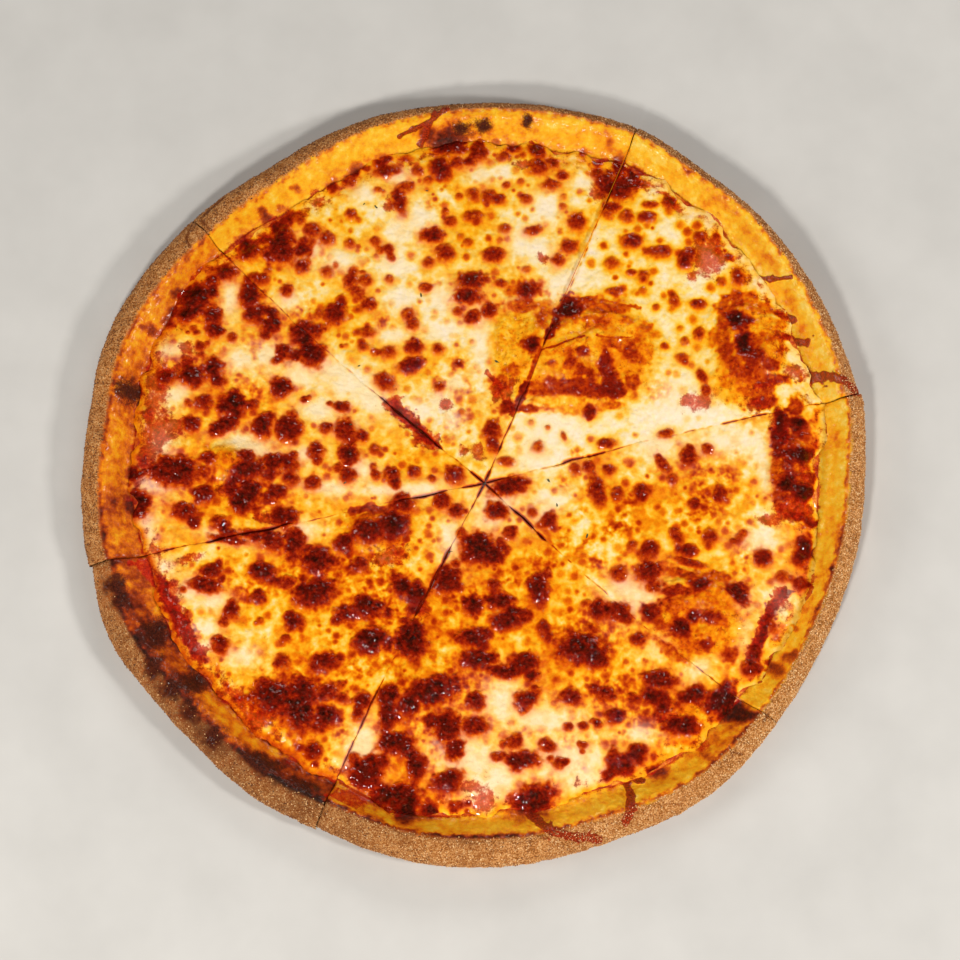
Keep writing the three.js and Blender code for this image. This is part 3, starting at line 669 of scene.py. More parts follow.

# %% [markdown]
# On the bubbles one tone lies beside the next, almost without a change between them. They are
# painted with patches, which are ovals with one more number at the end: the toast of the patch.
# Later ones lie over earlier ones. Most tones are browning, but the dark patches in the hollows
# and on the far walls of the craters are painted shade.

# %% Patches of the bubbles
BUBBLE_PATCHES = [
    # the large bubble that the top cut runs over
    (508, 345, 14, 26, 0.28), (507, 362, 10, 14, 0.23), (512, 325, 16, 8, 0.25),
    (522, 306, 20, 7, 0.50), (528, 290, 16, 9, 0.57), (512, 292, 8, 6, 0.44), (545, 312, 8, 14, 0.40),
    (531, 346, 9, 7, 0.66), (543, 322, 6, 10, 0.48), (513, 371, 8, 6, 0.46),
    (498, 385, 8, 12, -30, 0.56), (571, 308, 14, 12, 0.76), (553, 333, 5, 12, -25, 0.72),
    (597, 308, 16, 8, 0.48), (590, 300, 14, 4, 0.52), (618, 310, 12, 5, 0.50), (590, 325, 20, 8, 0.43),
    (602, 324, 10, 6, 0.50), (627, 326, 12, 8, 0.28), (626, 321, 6, 5, 0.44), (645, 330, 9, 8, 0.46),
    (640, 340, 8, 6, 0.40), (612, 345, 20, 5, 0.46), (560, 352, 20, 8, 10, 0.36),
    (566, 336, 22, 5, 25, 0.24), (574, 346, 14, 6, 15, 0.30), (594, 350, 8, 10, 0.29),
    (582, 355, 6, 5, 0.68), (552, 367, 17, 9, 0.27), (552, 366, 5, 4, 0.47), (560, 376, 14, 7, 0.29),
    (570, 362, 7, 8, 0.46), (583, 371, 16, 6, -20, 0.58), (591, 366, 8, 4, 0.33),
    # the far side of the crater and the hollow below it, their darkness painted shade
    (604, 362, 6, 13, -15, 0.68), (609, 374, 8, 12, 0.62), (575, 388, 34, 8, 0.64),
    (545, 390, 20, 8, 0.54), (590, 395, 22, 5, 0.60), (613, 390, 12, 12, 0.73), (612, 405, 10, 5, 0.48),
    (565, 403, 30, 6, 0.26), (576, 410, 18, 6, 0.31), (632, 355, 11, 12, 0.52), (629, 353, 5, 6, 0.60),
    (647, 350, 6, 14, 0.32), (632, 383, 8, 8, 0.55), (642, 361, 7, 5, 0.50), (630, 369, 10, 5, 0.33),
    (590, 413, 6, 8, 0.62), (530, 409, 14, 4, 0.57), (508, 408, 8, 7, 0.64),
    # the bubble at the right
    (725, 312, 9, 12, 0.52), (738, 300, 8, 8, 0.57), (752, 300, 8, 10, 0.42), (765, 310, 16, 7, 0.38),
    (765, 325, 22, 8, 0.29), (722, 335, 8, 16, 0.48), (738, 322, 11, 9, 0.76), (745, 345, 11, 12, 0.82),
    (756, 345, 7, 8, 0.50), (725, 352, 8, 10, 0.57), (712, 340, 4, 10, 0.42), (733, 365, 10, 8, 0.55),
    (742, 377, 14, 8, -30, 0.52), (750, 368, 7, 10, -20, 0.64), (728, 382, 8, 9, 0.42),
    (785, 316, 9, 4, -15, 0.62), (768, 340, 16, 6, 0.45), (772, 350, 14, 8, 0.28),
    (788, 337, 8, 4, 0.62), (769, 367, 10, 7, -20, 0.62), (758, 375, 8, 6, 0.54),
    (765, 390, 9, 7, 0.57), (772, 380, 20, 5, 0.54), (752, 392, 12, 7, 0.48), (762, 403, 14, 7, 0.55),
    (735, 400, 8, 5, 0.30), (796, 405, 8, 9, 0.57),
    # the bubble right of it, below the cut
    (783, 422, 7, 10, 0.76), (780, 438, 9, 12, 0.82), (797, 425, 9, 9, 0.68), (800, 437, 12, 6, 0.56),
    (778, 452, 6, 10, 0.74), (790, 448, 7, 5, 0.46), (812, 448, 8, 6, 0.44), (800, 455, 14, 7, 0.74),
    (818, 465, 6, 12, 0.54), (802, 473, 10, 8, 0.33), (786, 468, 8, 10, 0.57), (775, 475, 6, 12, 0.48),
    (788, 487, 13, 7, 0.68), (796, 480, 6, 5, 0.32), (805, 495, 11, 8, 0.71), (812, 478, 6, 6, 0.60),
    (780, 503, 8, 10, 0.60), (792, 510, 10, 4, 0.42), (798, 517, 14, 4, -10, 0.54),
    (812, 522, 9, 5, -10, 0.68), (814, 507, 5, 9, 0.30),
    # the flat bubble at the lower right
    (700, 600, 26, 14, 0.38), (715, 640, 20, 14, 0.32), (690, 645, 16, 10, 0.45),
    (715, 607, 14, 7, 0.40), (670, 607, 10, 10, 0.46), (672, 592, 12, 6, 0.64), (685, 592, 8, 5, 0.60),
    (698, 585, 10, 6, 0.68), (680, 573, 24, 5, -15, 0.52), (718, 577, 14, 6, -10, 0.48),
    (735, 590, 9, 7, -35, 0.72), (742, 602, 8, 6, -35, 0.60), (674, 624, 7, 8, 0.50),
    (682, 628, 9, 9, 0.70), (693, 616, 8, 6, 0.64), (718, 622, 9, 6, 0.46), (706, 645, 6, 6, 0.53),
    (650, 613, 9, 9, 0.66), (658, 620, 5, 14, 30, 0.50), (670, 650, 24, 5, -35, 0.48),
    (732, 655, 8, 8, 0.60),
    # the small one left of the middle
    (376, 520, 22, 7, 0.46), (372, 536, 20, 9, 0.50), (390, 530, 9, 12, 0.58), (360, 528, 9, 7, 0.34),
    (374, 527, 7, 4, 0.30), (236, 462, 22, 8, -15, 0.30), (228, 458, 8, 5, 0.40),
]
print("patches:", len(BUBBLE_PATCHES))

# %% [markdown]
# Blisters rarely come alone: where the oven was hotter, at the left and near the camera, small
# ones bud from the large ones. They are drawn with a fixed seed.

# %% Buds of the blisters
draw = np.random.default_rng(5)
BUDS = []
for px, py, half_width, *more in BLISTERS + DARK_BLISTERS:
    half_height = more[0] if more else half_width
    hot = px < 400 or py > 520
    for _ in range(draw.integers(0, 3) if hot else 0):
        angle = draw.uniform(0, TAU)
        away = draw.uniform(1.0, 1.7)
        size = draw.uniform(0.35, 0.65) * min(half_width, half_height) + 1.0
        at = (px + away * half_width * math.cos(angle), py + away * half_height * math.sin(angle))
        BUDS.append((round(at[0], 1), round(at[1], 1), size, size * draw.uniform(0.7, 1.2)))
print("buds:", len(BUDS))

# %% [markdown]
# ## How spots and lines reach a mesh
#
# Each spot gives a point a number for how deep inside it lies, from 1 in the middle to 0 well
# outside. The distance is bent by noise first, so that no spot keeps its clean oval. Spots
# overlap softly, as browning does.

# %% Reaching points with spots and lines
def spot_on_plan(spot):
    """Middle, half length, half width and turn of a spot, in millimetres on the pizza."""
    px, py, half_width = spot[:3]
    half_height = spot[3] if len(spot) > 3 else half_width
    turn = spot[4] if len(spot) > 4 else 0
    return on_plan(px, py), half_width / PIXELS_PER_MM, half_height / PIXELS_PER_MM, turn


def near(x, y, at, reach):
    """Numbers of the points in a square round a place."""
    return np.nonzero((np.abs(x - at[0]) < reach) & (np.abs(y - at[1]) < reach))[0]


def each_spot(spots, x, y, ragged, seed):
    """For each spot: the points near it, how far out and back they lie, its size and number."""
    bend = ragged * rough(x, y, 4.5, seed + 5, 2) + 0.2 * ragged * ripple(x, y, 1.6, seed + 7)
    for number, spot in enumerate(spots):
        at, a, b, turn = spot_on_plan(spot)
        some = near(x, y, at, 3.2 * max(a, b) + 1)
        if len(some) == 0:
            continue
        reach = oval_reach(x[some], y[some], at, a, b, turn) * (1 + bend[some])
        back = np.clip((y[some] - at[1]) / max(a, b), -1, 1)
        yield some, np.maximum(reach, 0), back, math.sqrt(a * b), number


def spot_field(spots, x, y, sharpness=5.0, ragged=0.22, spread=1.12, seed=0):
    """1 deep inside any of the spots, about a half on their outlines, 0 far outside."""
    field = np.zeros_like(x)
    for some, reach, *_ in each_spot(spots, x, y, ragged, seed):
        deep = 1 / (1 + (reach / spread) ** sharpness)
        field[some] = 1 - (1 - field[some]) * (1 - deep)
    return field


print("a blister of 10 px is", round(20 / PIXELS_PER_MM, 1), "mm across")

# %% [markdown]
# A blister is not evenly brown. It is darkest in its middle, a large one is darker than a small
# one, and no two are quite alike. Its back, away from the light, is darker and its front lighter:
# that is painted shade and light. A patch works the other way round: it pulls whatever lies below
# it to its own tone.

# %% Blisters and patches
def blister_field(spots, x, y, spread, seed, least, growth):
    """Toast of blisters: darkest inside, painted shade behind, larger ones darker, none alike."""
    cubes = np.zeros_like(x)
    for some, reach, back, size, number in each_spot(spots, x, y, 0.30, seed):
        px, py = spots[number][:2]
        luck = (37 * px + 91 * py) % 17 / 8 - 1
        # back is the far side of a blister, away from the light: painted shade makes it darker and
        # sharper there, and painted light makes the front lighter.
        softness = 3.7 + 0.8 * back
        toast = min(least + growth * size + 0.07 * luck, 0.82) * (1 + 0.10 * back)
        cubes[some] += (toast / (1 + (reach / spread) ** softness)) ** 3
    return np.minimum(np.cbrt(cubes), 0.86)


def toned_patches(patches, x, y, tones, seed):
    """Lays patches over tones, each pulling them to its own; also tells where they lie."""
    tones, cover = tones.copy(), np.zeros_like(x)
    ovals = [patch[:-1] for patch in patches]
    for some, reach, _, _, number in each_spot(ovals, x, y, 0.55, seed):
        share = 0.95 / (1 + (reach / 1.04) ** 7)
        tones[some] += (patches[number][-1] - tones[some]) * share
        cover[some] = np.maximum(cover[some], share)
    return tones, cover


middle = [np.array([value]) for value in on_plan(*BLISTERS[0][:2])]
print("toast in a blister:", blister_field(BLISTERS[:1], *middle, 1.1, 1, 0.4, 0.07).round(2))

# %% [markdown]
# The same ovals also give the blisters their low domes, and a line gets its own field: every
# stretch between two of its points is a bar with soft sides, bent a little by noise.

# %% Domes and lines
def dome_field(spots, x, y, steepness, most):
    """Height of the low domes that the spots make, in millimetres."""
    field = np.zeros_like(x)
    for spot in spots:
        at, a, b, turn = spot_on_plan(spot)
        some = near(x, y, at, 1.3 * max(a, b))
        reach = oval_reach(x[some], y[some], at, a, b, turn) / 1.15
        height = min(steepness * min(a, b), most)
        field[some] = np.maximum(field[some], height * np.clip(1 - reach**2, 0, 1) ** 0.8)
    return field


def line_field(lines, x, y, seed=0):
    """1 along the lines (or their own strength), falling to 0 past their width."""
    field = np.zeros_like(x)
    wander = 1.3 * ripple(x, y, 4.5, seed) + 0.7 * ripple(x, y, 1.8, seed)
    for pixels, half_width, *strength in lines:
        width = half_width / PIXELS_PER_MM
        points = [on_plan(*pixel) for pixel in pixels]
        for (ax, ay), (bx, by) in zip(points, points[1:]):
            length = math.hypot(bx - ax, by - ay)
            some = near(x, y, ((ax + bx) / 2, (ay + by) / 2), length / 2 + 3 * width + 1)
            dx, dy = x[some] - ax, y[some] - ay
            along = np.clip((dx * (bx - ax) + dy * (by - ay)) / length**2, 0, 1)
            gap = np.hypot(dx - along * (bx - ax), dy - along * (by - ay))
            gap = gap * (1 + 0.45 * wander[some])
            inside = (1 - smooth(gap, 0.5 * width, 1.7 * width)) * (strength or [1])[0]
            field[some] = np.maximum(field[some], inside)
    return field


print("height of a blister:", dome_field(BLISTERS[:1], *middle, 0.3, 1.5).round(2), "mm")

# %% [markdown]
# ## Points in bulk
#
# Blender hands all points of a mesh over as one array and takes them back again, and that is how
# thousands of points are moved at once below. Edges are chosen by where their two ends lie, so
# that an operator gets exactly what it should work on.

# %% Points and selections
@contextlib.contextmanager
def editing():
    """Edit mode for the lines inside it, then object mode again."""
    bpy.ops.object.mode_set(mode="EDIT")
    yield
    bpy.ops.object.mode_set(mode="OBJECT")


def read_points(piece):
    flat = np.empty(len(piece.data.vertices) * 3)
    piece.data.vertices.foreach_get("co", flat)
    return flat.reshape(-1, 3)


def move_points(piece, points):
    piece.data.vertices.foreach_set("co", np.ascontiguousarray(points, dtype=float).ravel())
    piece.data.update()


def select_only(*pieces):
    bpy.ops.object.select_all(action="DESELECT")
    for piece in pieces:
        piece.select_set(True)
    bpy.context.view_layer.objects.active = pieces[0]


def select_edges(piece, wanted):
    """Selects the edges whose two ends are both wanted points."""
    mesh = piece.data
    ends = np.empty(len(mesh.edges) * 2, dtype=np.int32)
    mesh.edges.foreach_get("vertices", ends)
    ends = ends.reshape(-1, 2)
    mesh.vertices.foreach_set("select", np.zeros(len(mesh.vertices), bool))
    mesh.polygons.foreach_set("select", np.zeros(len(mesh.polygons), bool))
    mesh.edges.foreach_set("select", wanted[ends[:, 0]] & wanted[ends[:, 1]])


# %% [markdown]
# ## Meshes for slices
#
# A slice's cheese starts as a triangle. Subdividing it twice gives an even lattice of small
# triangles whose rows follow the slice from its tip to its edge. A second, coarser lattice is
# the underside, and bridging the two outlines closes the piece. Only then are the points moved
# to their real places, so the cheese is one clean closed skin.

# %% A lattice
def lattice(first_cuts, second_cuts):
    """A flat triangle, its tip at (0, 1) and its far side at y = -0.5, in small triangles."""
    bpy.ops.object.select_all(action="DESELECT")
    bpy.ops.mesh.primitive_circle_add(vertices=3, radius=1, fill_type="NGON")
    with editing():
        bpy.ops.mesh.select_mode(type="EDGE")
        bpy.ops.mesh.select_all(action="SELECT")
        bpy.ops.mesh.subdivide(number_cuts=first_cuts - 1)
        bpy.ops.mesh.subdivide(number_cuts=second_cuts - 1)
    return bpy.context.object


def lattice_shares(points):
    """Share of the way out from the tip and across, for points of a lattice."""
    out = np.clip((1 - points[:, 1]) / 1.5, 0, 1)
    half_width = np.maximum(math.sqrt(0.75) * out, 1e-9)
    across = np.where(out > 1e-6, points[:, 0] / half_width / 2 + 0.5, 0.5)
    return out, np.clip(across, 0, 1)


print("tip and far side:", lattice_shares(np.array([(0.0, 1.0), (0.0, -0.5)]))[0])

# %% [markdown]
# A closed piece gets its normals turned outwards. Then each field is painted on it as one number
# for each point, and the piece is tied to the body while the solid that it stands for is hidden.

# %% Closing, painting and naming
def close_normals(piece):
    select_only(piece)
    with editing():
        bpy.ops.mesh.select_all(action="SELECT")
        bpy.ops.mesh.quads_convert_to_tris()
        bpy.ops.mesh.normals_make_consistent(inside=False)
        bpy.ops.mesh.select_all(action="DESELECT")
    bpy.ops.object.shade_smooth_by_angle(angle=math.radians(65))


def paint(piece, name, values):
    """Stores one number for each point, for the finishes to read."""
    layer = piece.data.attributes.new(name, "FLOAT", "POINT")
    layer.data.foreach_set("value", np.clip(values, 0, 4).astype(np.float32))


def ready(piece, name, node):
    """Names a finished piece, ties it to the body and hides the solid it stands for."""
    piece.name = name
    piece.data.name = name
    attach(piece, "root")
    if node:
        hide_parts(node)
    print(name, len(piece.data.polygons), "faces")


# %% [markdown]
# ## How far each cut stands open
#
# The wheel cut right through, but the cheese was hot and ran together again. So each cut is a
# dark slot in some places and almost nothing in others. Each pair is a distance from the
# crossing and half the opening there, in millimetres, before the cheese crept back a little.

# %% Openings of the cuts
CUT_OPENINGS = {
    "right": [
        (0, 0.25), (8, 0.25), (20, 0.05), (31, 0.08), (36, 0.4), (58, 0.35), (64, 0.06),
        (110, 0.04), (116, 0.35), (135, 0.3), (142, 0.06), (155, 0.25), (170, 0.5),
    ],
    "top": [
        (0, 0.25), (14, 0.10), (19, 0.32), (30, 0.25), (45, 0.36), (58, 0.12), (74, 0.36),
        (82, 0.08), (138, 0.04), (146, 0.35), (160, 0.3),
    ],
    "upper_left": [
        (0, 0.3), (12, 0.1), (24, 0.15), (30, 0.7), (55, 0.8), (64, 0.2), (75, 0.06),
        (110, 0.12), (140, 0.2), (160, 0.3),
    ],
    "left": [
        (0, 0.3), (17, 0.12), (22, 0.5), (36, 0.45), (42, 0.08), (88, 0.08), (94, 0.6),
        (125, 0.85), (131, 0.25), (160, 0.3),
    ],
    "lower_left": [
        (0, 0.2), (8, 0.05), (12, 0.25), (31, 0.15), (36, 0.6), (66, 0.6), (72, 0.08),
        (102, 0.06), (108, 0.3), (160, 0.3),
    ],
    "lower_right": [
        (0, 0.2), (15, 0.12), (20, 0.6), (36, 0.5), (42, 0.1), (60, 0.03), (100, 0.03),
        (115, 0.12), (150, 0.25),
    ],
}
CLOSED_CUT = 0.015
WIDEST_HALF_CUT = 0.7
# The share of an opening that stayed open, and what it lost besides.
CREPT_BACK = (0.72, 0.05)


def cut_half_gap(cut, radius):
    """Half the opening of a cut at a distance from the crossing."""
    distances, halves = zip(*CUT_OPENINGS[cut])
    half = np.interp(radius, distances, halves)
    waver = 1 + 0.9 * rough(radius, radius * 0 + len(cut), 6.0, 3, 3)
    return np.clip((CREPT_BACK[0] * half - CREPT_BACK[1]) * waver, CLOSED_CUT, WIDEST_HALF_CUT)


print("openings of a cut:", cut_half_gap("left", np.array([30.0, 60.0, 110.0])).round(2) * 2, "mm")

# %% [markdown]
# ## The melted cheese
#
# The upper face carries all the relief: thick pools, domes blown by steam, low blisters with
# crinkled tops, rounded lips along the cuts and a torn, lobed edge out on the sauce. The
# browning is worked out at the same points, so colour and form always agree.

# %% Edge and underside of the cheese
FINE_CHEESE = {"top": (20, 21), "bottom": (20, 21)}
USUAL_CHEESE = (18, 20)
COARSE_LATTICE = (6, 10)
TIP_GAP = 0.3
# How far the cheese climbs past the sauce at most, and how deep its edge sinks in.
CHEESE_CLIMB = 4.0
EDGE_SINK = 0.45


def cheese_rim(name, across):
    """The edge of the cheese: the solid's, torn into lobes."""
    angle = bearing(name, across)
    x, y = 150 * np.cos(angle), 150 * np.sin(angle)
    lobes = 2.6 * ripple(x, y, 13, 11) + 1.3 * ripple(x, y, 5, 12) + 0.3 * ripple(x, y, 2, 13)
    reach = 2.6 + 2.8 * smooth(rough(x, y, 16, 14, 2), -0.3, 0.6)
    torn = cheese_edge(name, across) + lobes + reach
    return np.minimum(torn, sauce_edge(name, across) + CHEESE_CLIMB)


def on_skin(along):
    """1 over the skin of the rim, running out to 0 at both of its ends."""
    return smooth(along, 0.0, 0.1) * smooth(along, 0.97, 0.90)


def rim_lumps(name, across, along):
    """Lumps of the rim, by the way round it and the way over it."""
    round_rim, over_rim = bearing(name, across) * RIM_RADIUS, along * STRIP_LENGTH
    wide = rough(round_rim, over_rim, 11, 71, 2)
    narrow = rough(round_rim, over_rim, 3.5, 72, 2)
    return (0.6 * wide + 0.4 * narrow) * on_skin(along)


def foot_of_rim(name, across, radius, x, y):
    """Height of the rim's inner slope at a distance from the crossing."""
    angle = bearing(name, across)
    s = np.clip((radius - sauce_edge(name, across)) / inner_slope(angle), 0, 1)
    slope = lerp(CRUST_FLOOR, crest_height(angle), s * s * (3 - 2 * s))
    slope = slope + lift(DOUGH_BUBBLES, x, y) * (1 - 0.8 * s)
    return slope + rim_lumps(name, across, s * CREST_AT)


def cheese_bottom(name, across, radius, x, y, to_edge):
    """Height of the cheese's underside. At its edge it sinks in, so that no step shows."""
    stuck = EDGE_SINK * smooth(to_edge, 1.6, 0.0)
    on_sauce = dough_top(x, y) + SAUCE_THICKNESS + 2 * LAYER_GAP
    on_slope = foot_of_rim(name, across, radius, x, y) + LAYER_GAP
    climbing = smooth(radius - sauce_edge(name, across), -1.0, 0.5)
    return np.maximum(on_sauce, lerp(0, on_slope, climbing)) - stuck


print("the cheese reaches", cheese_rim("top", np.array([0.2, 0.5, 0.8])).round(1), "mm out")

# %% [markdown]
# The relief has many small parts, each with its own cause: pools that ran together, domes of
# blisters with a moat round each, crinkles on what browned, folds of the bubbles, and places
# where only sauce is left.

# %% Relief of the cheese
# Steepness and greatest height of the domes, for brown blisters, dark ones and dents.
BLISTER_DOME = (0.32, 1.4)
DARK_DOME = (0.26, 1.6)
DENT_DOME = (0.14, 0.9)
MOAT_DEPTH = 0.30
RIDGE_HEIGHT = 1.3
SAUCE_DEPTH = 0.4


def cheese_relief(x, y, fields):
    """Height of the cheese's own relief over its even thickness, in millimetres."""
    slow = 0.25 * np.sin(x / 11 + 1.3) * np.sin(y / 13 + 0.4) + 0.18 * np.sin((x + y) / 7.5 + 2.1)
    pools = 0.55 * rough(x, y, 9, 21, 2) + 0.46 * rough(x, y, 3.6, 22, 2)
    crinkle = 0.42 * rough(x, y, 2.1, 24, 2)
    brown = fields["brown"]
    calm = 1 - 0.35 * fields["pale"]
    domes = dome_field(BLISTERS, x, y, *BLISTER_DOME) + dome_field(DARK_BLISTERS, x, y, *DARK_DOME)
    moats = MOAT_DEPTH * np.clip(fields["halo"] - brown, 0, 1)
    folds = RIDGE_HEIGHT * line_field(RIDGES, x, y, 25) - dome_field(DENTS, x, y, *DENT_DOME)
    puffed = fields["bare"] * (1.1 + 0.5 * rough(x, y, 7, 28, 2))
    sunk = SAUCE_DEPTH * fields["sauce"] * (1 - fields["bare"])
    return slow + pools * calm + domes + crinkle * (0.1 + brown) + folds + puffed - moats - sunk


def rounded_lip(distance, width):
    """0 at an edge, rising to 1 over a width like a quarter circle."""
    left = 1 - np.clip(distance / width, 0, 1)
    return np.sqrt(np.clip(1 - left**2, 0, 1))


print("a lip rises over its width:", rounded_lip(np.array([0.0, 0.5, 1.0]), 1.0).round(2))

# %% [markdown]
# The browning fields are the painter's layers. Toast runs from milky white at 0 through yellow
# and orange to nearly black at 1, the same order in which cheese browns. The oven wasn't even, so
# each slice has its own tones. Small seeded spots fill in what is too fine to read off the photo.

# %% Tones of the slices
# Per slice: toast of the creamy places, toast of the golden ones, and how far gold wins.
SLICE_TOAST = {
    "upper_right": (0.03, 0.22, -0.40),
    "top": (0.08, 0.29, 0.00),
    "left": (0.17, 0.33, 0.08),
    "lower_left": (0.13, 0.32, 0.00),
    "bottom": (0.14, 0.36, 0.06),
    "right": (0.10, 0.37, 0.10),
}
# How much further the oven took the blisters of a slice, and how much wider they grew.
BLISTER_TOAST = {
    "upper_right": (0.38, 1.10), "top": (0.37, 1.20), "left": (0.45, 1.28),
    "lower_left": (0.45, 1.30), "bottom": (0.46, 1.34), "right": (0.37, 1.24),
}
# Toast of the rim's inner slope, where the cheese runs out.
RIM_TOAST = {
    "upper_right": 0.08, "top": 0.19, "left": 0.34,
    "lower_left": 0.42, "bottom": 0.20, "right": 0.10,
}
# Number of small spots on a slice, their radius in millimetres and their toast.
SMALL_SPOTS = {
    "upper_right": 110, "top": 260, "left": 240, "lower_left": 260, "bottom": 330, "right": 200,
}
SPOT_RADIUS = (0.9, 2.5)
SPOT_TOAST = (0.36, 0.60)


def small_spots(name, seed):
    """Seeded pinhead spots over a slice: place, radius and depth of browning."""
    draw = np.random.default_rng(seed)
    spots = []
    for _ in range(SMALL_SPOTS[name]):
        across = draw.uniform(0.03, 0.97)
        edge = float(cheese_edge(name, np.array([across]))[0])
        radius = edge * math.sqrt(draw.uniform(0.01, 0.98))
        at = plan_point(name, across, radius)
        spots.append((at, draw.uniform(*SPOT_RADIUS), draw.uniform(*SPOT_TOAST)))
    return spots


def blister_toast(name, x, y):
    """How brown the oven made the blisters of a slice."""
    least, spread = BLISTER_TOAST[name]
    brown = blister_field(BLISTERS + BUDS, x, y, spread, 1, least, 0.072)
    dark = blister_field(DARK_BLISTERS + CRUSTY_PLACES, x, y, spread, 2, least + 0.22, 0.035)
    return np.maximum(brown, dark)


print("small spots:", sum(SMALL_SPOTS.values()))

# %% [markdown]
# Here all the layers come together. Each one is worked out over the plan and laid over those
# before it: the creamy and golden ground, rings and specks, the bubbles, the blisters, burnt
# places, and at last the sauce that shows through.

# %% Browning of the cheese
def cheese_fields(name, x, y, radius, across, seed):
    """All that the finish of the cheese reads, as one number for each point."""
    soft = rough(x, y, 24, 41, 2)
    mid = rough(x, y, 7, 42, 2)
    fine = rough(x, y, 1.5, 43, 2)
    small = rough(x, y, 2.6, 45, 2)

    # what was read off the photo
    blistered = blister_toast(name, x, y)
    brown = smooth(blistered, 0.30, 0.62)
    orange = spot_field(ORANGE_SPOTS, x, y, sharpness=3.5, ragged=0.35, seed=3)
    bare = spot_field(BARE_PLACES, x, y, sharpness=8, ragged=0.16, seed=4)
    sauce = spot_field(RED_PLACES, x, y, sharpness=4.5, ragged=0.45, seed=5)
    pale = spot_field(PALE_PLACES, x, y, sharpness=3.5, ragged=0.4, seed=6)
    burnt = spot_field(BURNT_PLACES, x, y, sharpness=6, ragged=0.28, seed=7)
    streaks = line_field(SAUCE_STREAKS, x, y, 8)
    strings = line_field(BURNT_STRINGS, x, y, 9)
    golden_ring = spot_field(BLISTERS + DARK_BLISTERS, x, y, 4.0, 0.40, 1.56, 10)

    # small seeded specks
    specks = np.zeros_like(x)
    for at, size, depth in small_spots(name, seed):
        some = near(x, y, at, 3.6 * size)
        reach = np.hypot(x[some] - at[0], y[some] - at[1]) / size
        reach = reach * (1 + 0.3 * mid[some] + 0.2 * fine[some])
        specks[some] = np.maximum(specks[some], depth / (1 + np.abs(reach / 1.05) ** 3.6))

    # the creamy and golden ground, with orange places
    creamy, golden, bias = SLICE_TOAST[name]
    gold = smooth(0.65 * mid + 0.5 * soft + 0.12 * small + bias - 0.9 * pale, -0.42, 0.42)
    toast = lerp(creamy, golden, gold) + 0.06 * small + 0.05 * mid
    toast = np.clip(toast, 0.0, 0.55) * (1 - 0.45 * pale)
    toast = toast + (1 - toast) * 0.32 * orange * np.clip(0.75 + 1.1 * small + 0.5 * mid, 0, 1.6)

    # rings and specks
    ring = golden + 0.04 + 0.10 * mid + 0.07 * small
    toast = np.maximum(toast, ring * golden_ring * (1 - 0.3 * pale))
    specks = specks * (1 - 0.6 * pale)
    toast = np.cbrt(toast**3 + specks**3)

    # the bubbles
    toast = toast + (0.35 + 0.16 * mid + 0.08 * small - toast) * bare
    toast, patched = toned_patches(BUBBLE_PATCHES, x, y, toast, 48)
    toast = toast + (0.065 + 0.13 * small + 0.07 * mid + 0.05 * fine) * patched
    brown = np.maximum(brown, 0.8 * patched * smooth(toast, 0.46, 0.70))
    pale = pale * (1 - patched)

    # blisters, burnt places, and creases darkened partly by browning and partly by painted shade
    blistered = blistered * (1 + (0.16 * fine + 0.20 * small) * brown)
    toast = np.cbrt(np.clip(toast, 0, 1) ** 3 + blistered**3)
    toast = np.maximum(toast, (0.84 + 0.10 * fine) * burnt)
    toast = np.maximum(toast, line_field(BROWNED_AND_SHADED_FOLDS, x, y, 26) * (1 + 0.25 * small))
    browned = np.clip(brown + burnt + 0.4 * specks, 0, 1)

    # the torn edge, and sauce that shows through
    edge = cheese_rim(name, across)
    reach = 15 + 5 * rough(x, y, 20, 47, 2)
    torn = smooth(edge - radius, reach, 1) * np.clip(0.55 + 1.2 * rough(x, y, 5, 44, 2), 0, 1)
    blotches = np.clip(0.8 * rough(x, y, 10, 46, 3) - 0.25, 0, 1) * smooth(radius, 60, 120)
    sauce = 1 - (1 - 0.9 * sauce) * (1 - streaks) * (1 - 0.75 * torn) * (1 - 0.5 * blotches)
    return {
        "toast": np.clip(toast + 0.16 * torn, 0, 1),
        "brown": np.clip(browned + 0.10 * bare, 0, 1),
        "sauce": np.clip(sauce * (1 - 0.5 * browned) + 0.28 * bare + 0.5 * strings, 0, 1),
        "pale": pale * (1 - browned) * (1 - bare),
        "halo": golden_ring,
        "bare": bare,
        "char": np.clip(0.55 * burnt + 0.10 * fine * burnt, 0, 1),
        "strings": strings,
    }


sample = cheese_fields("top", *middle, np.array([90.0]), np.array([0.5]), 0)
print("fields:", ", ".join(sample))

# %% [markdown]
# Now the cheese can be made. The distance to each cut gives the rounded lips, and along each cut
# the cheese is darkened in patches with painted shade, wider and darker where the cut stands open.

# %% Build the cheese
THINNEST_CHEESE = 0.2
# Toast of the painted shade along the cuts.
SEAM_SHADE_TOAST = 0.68


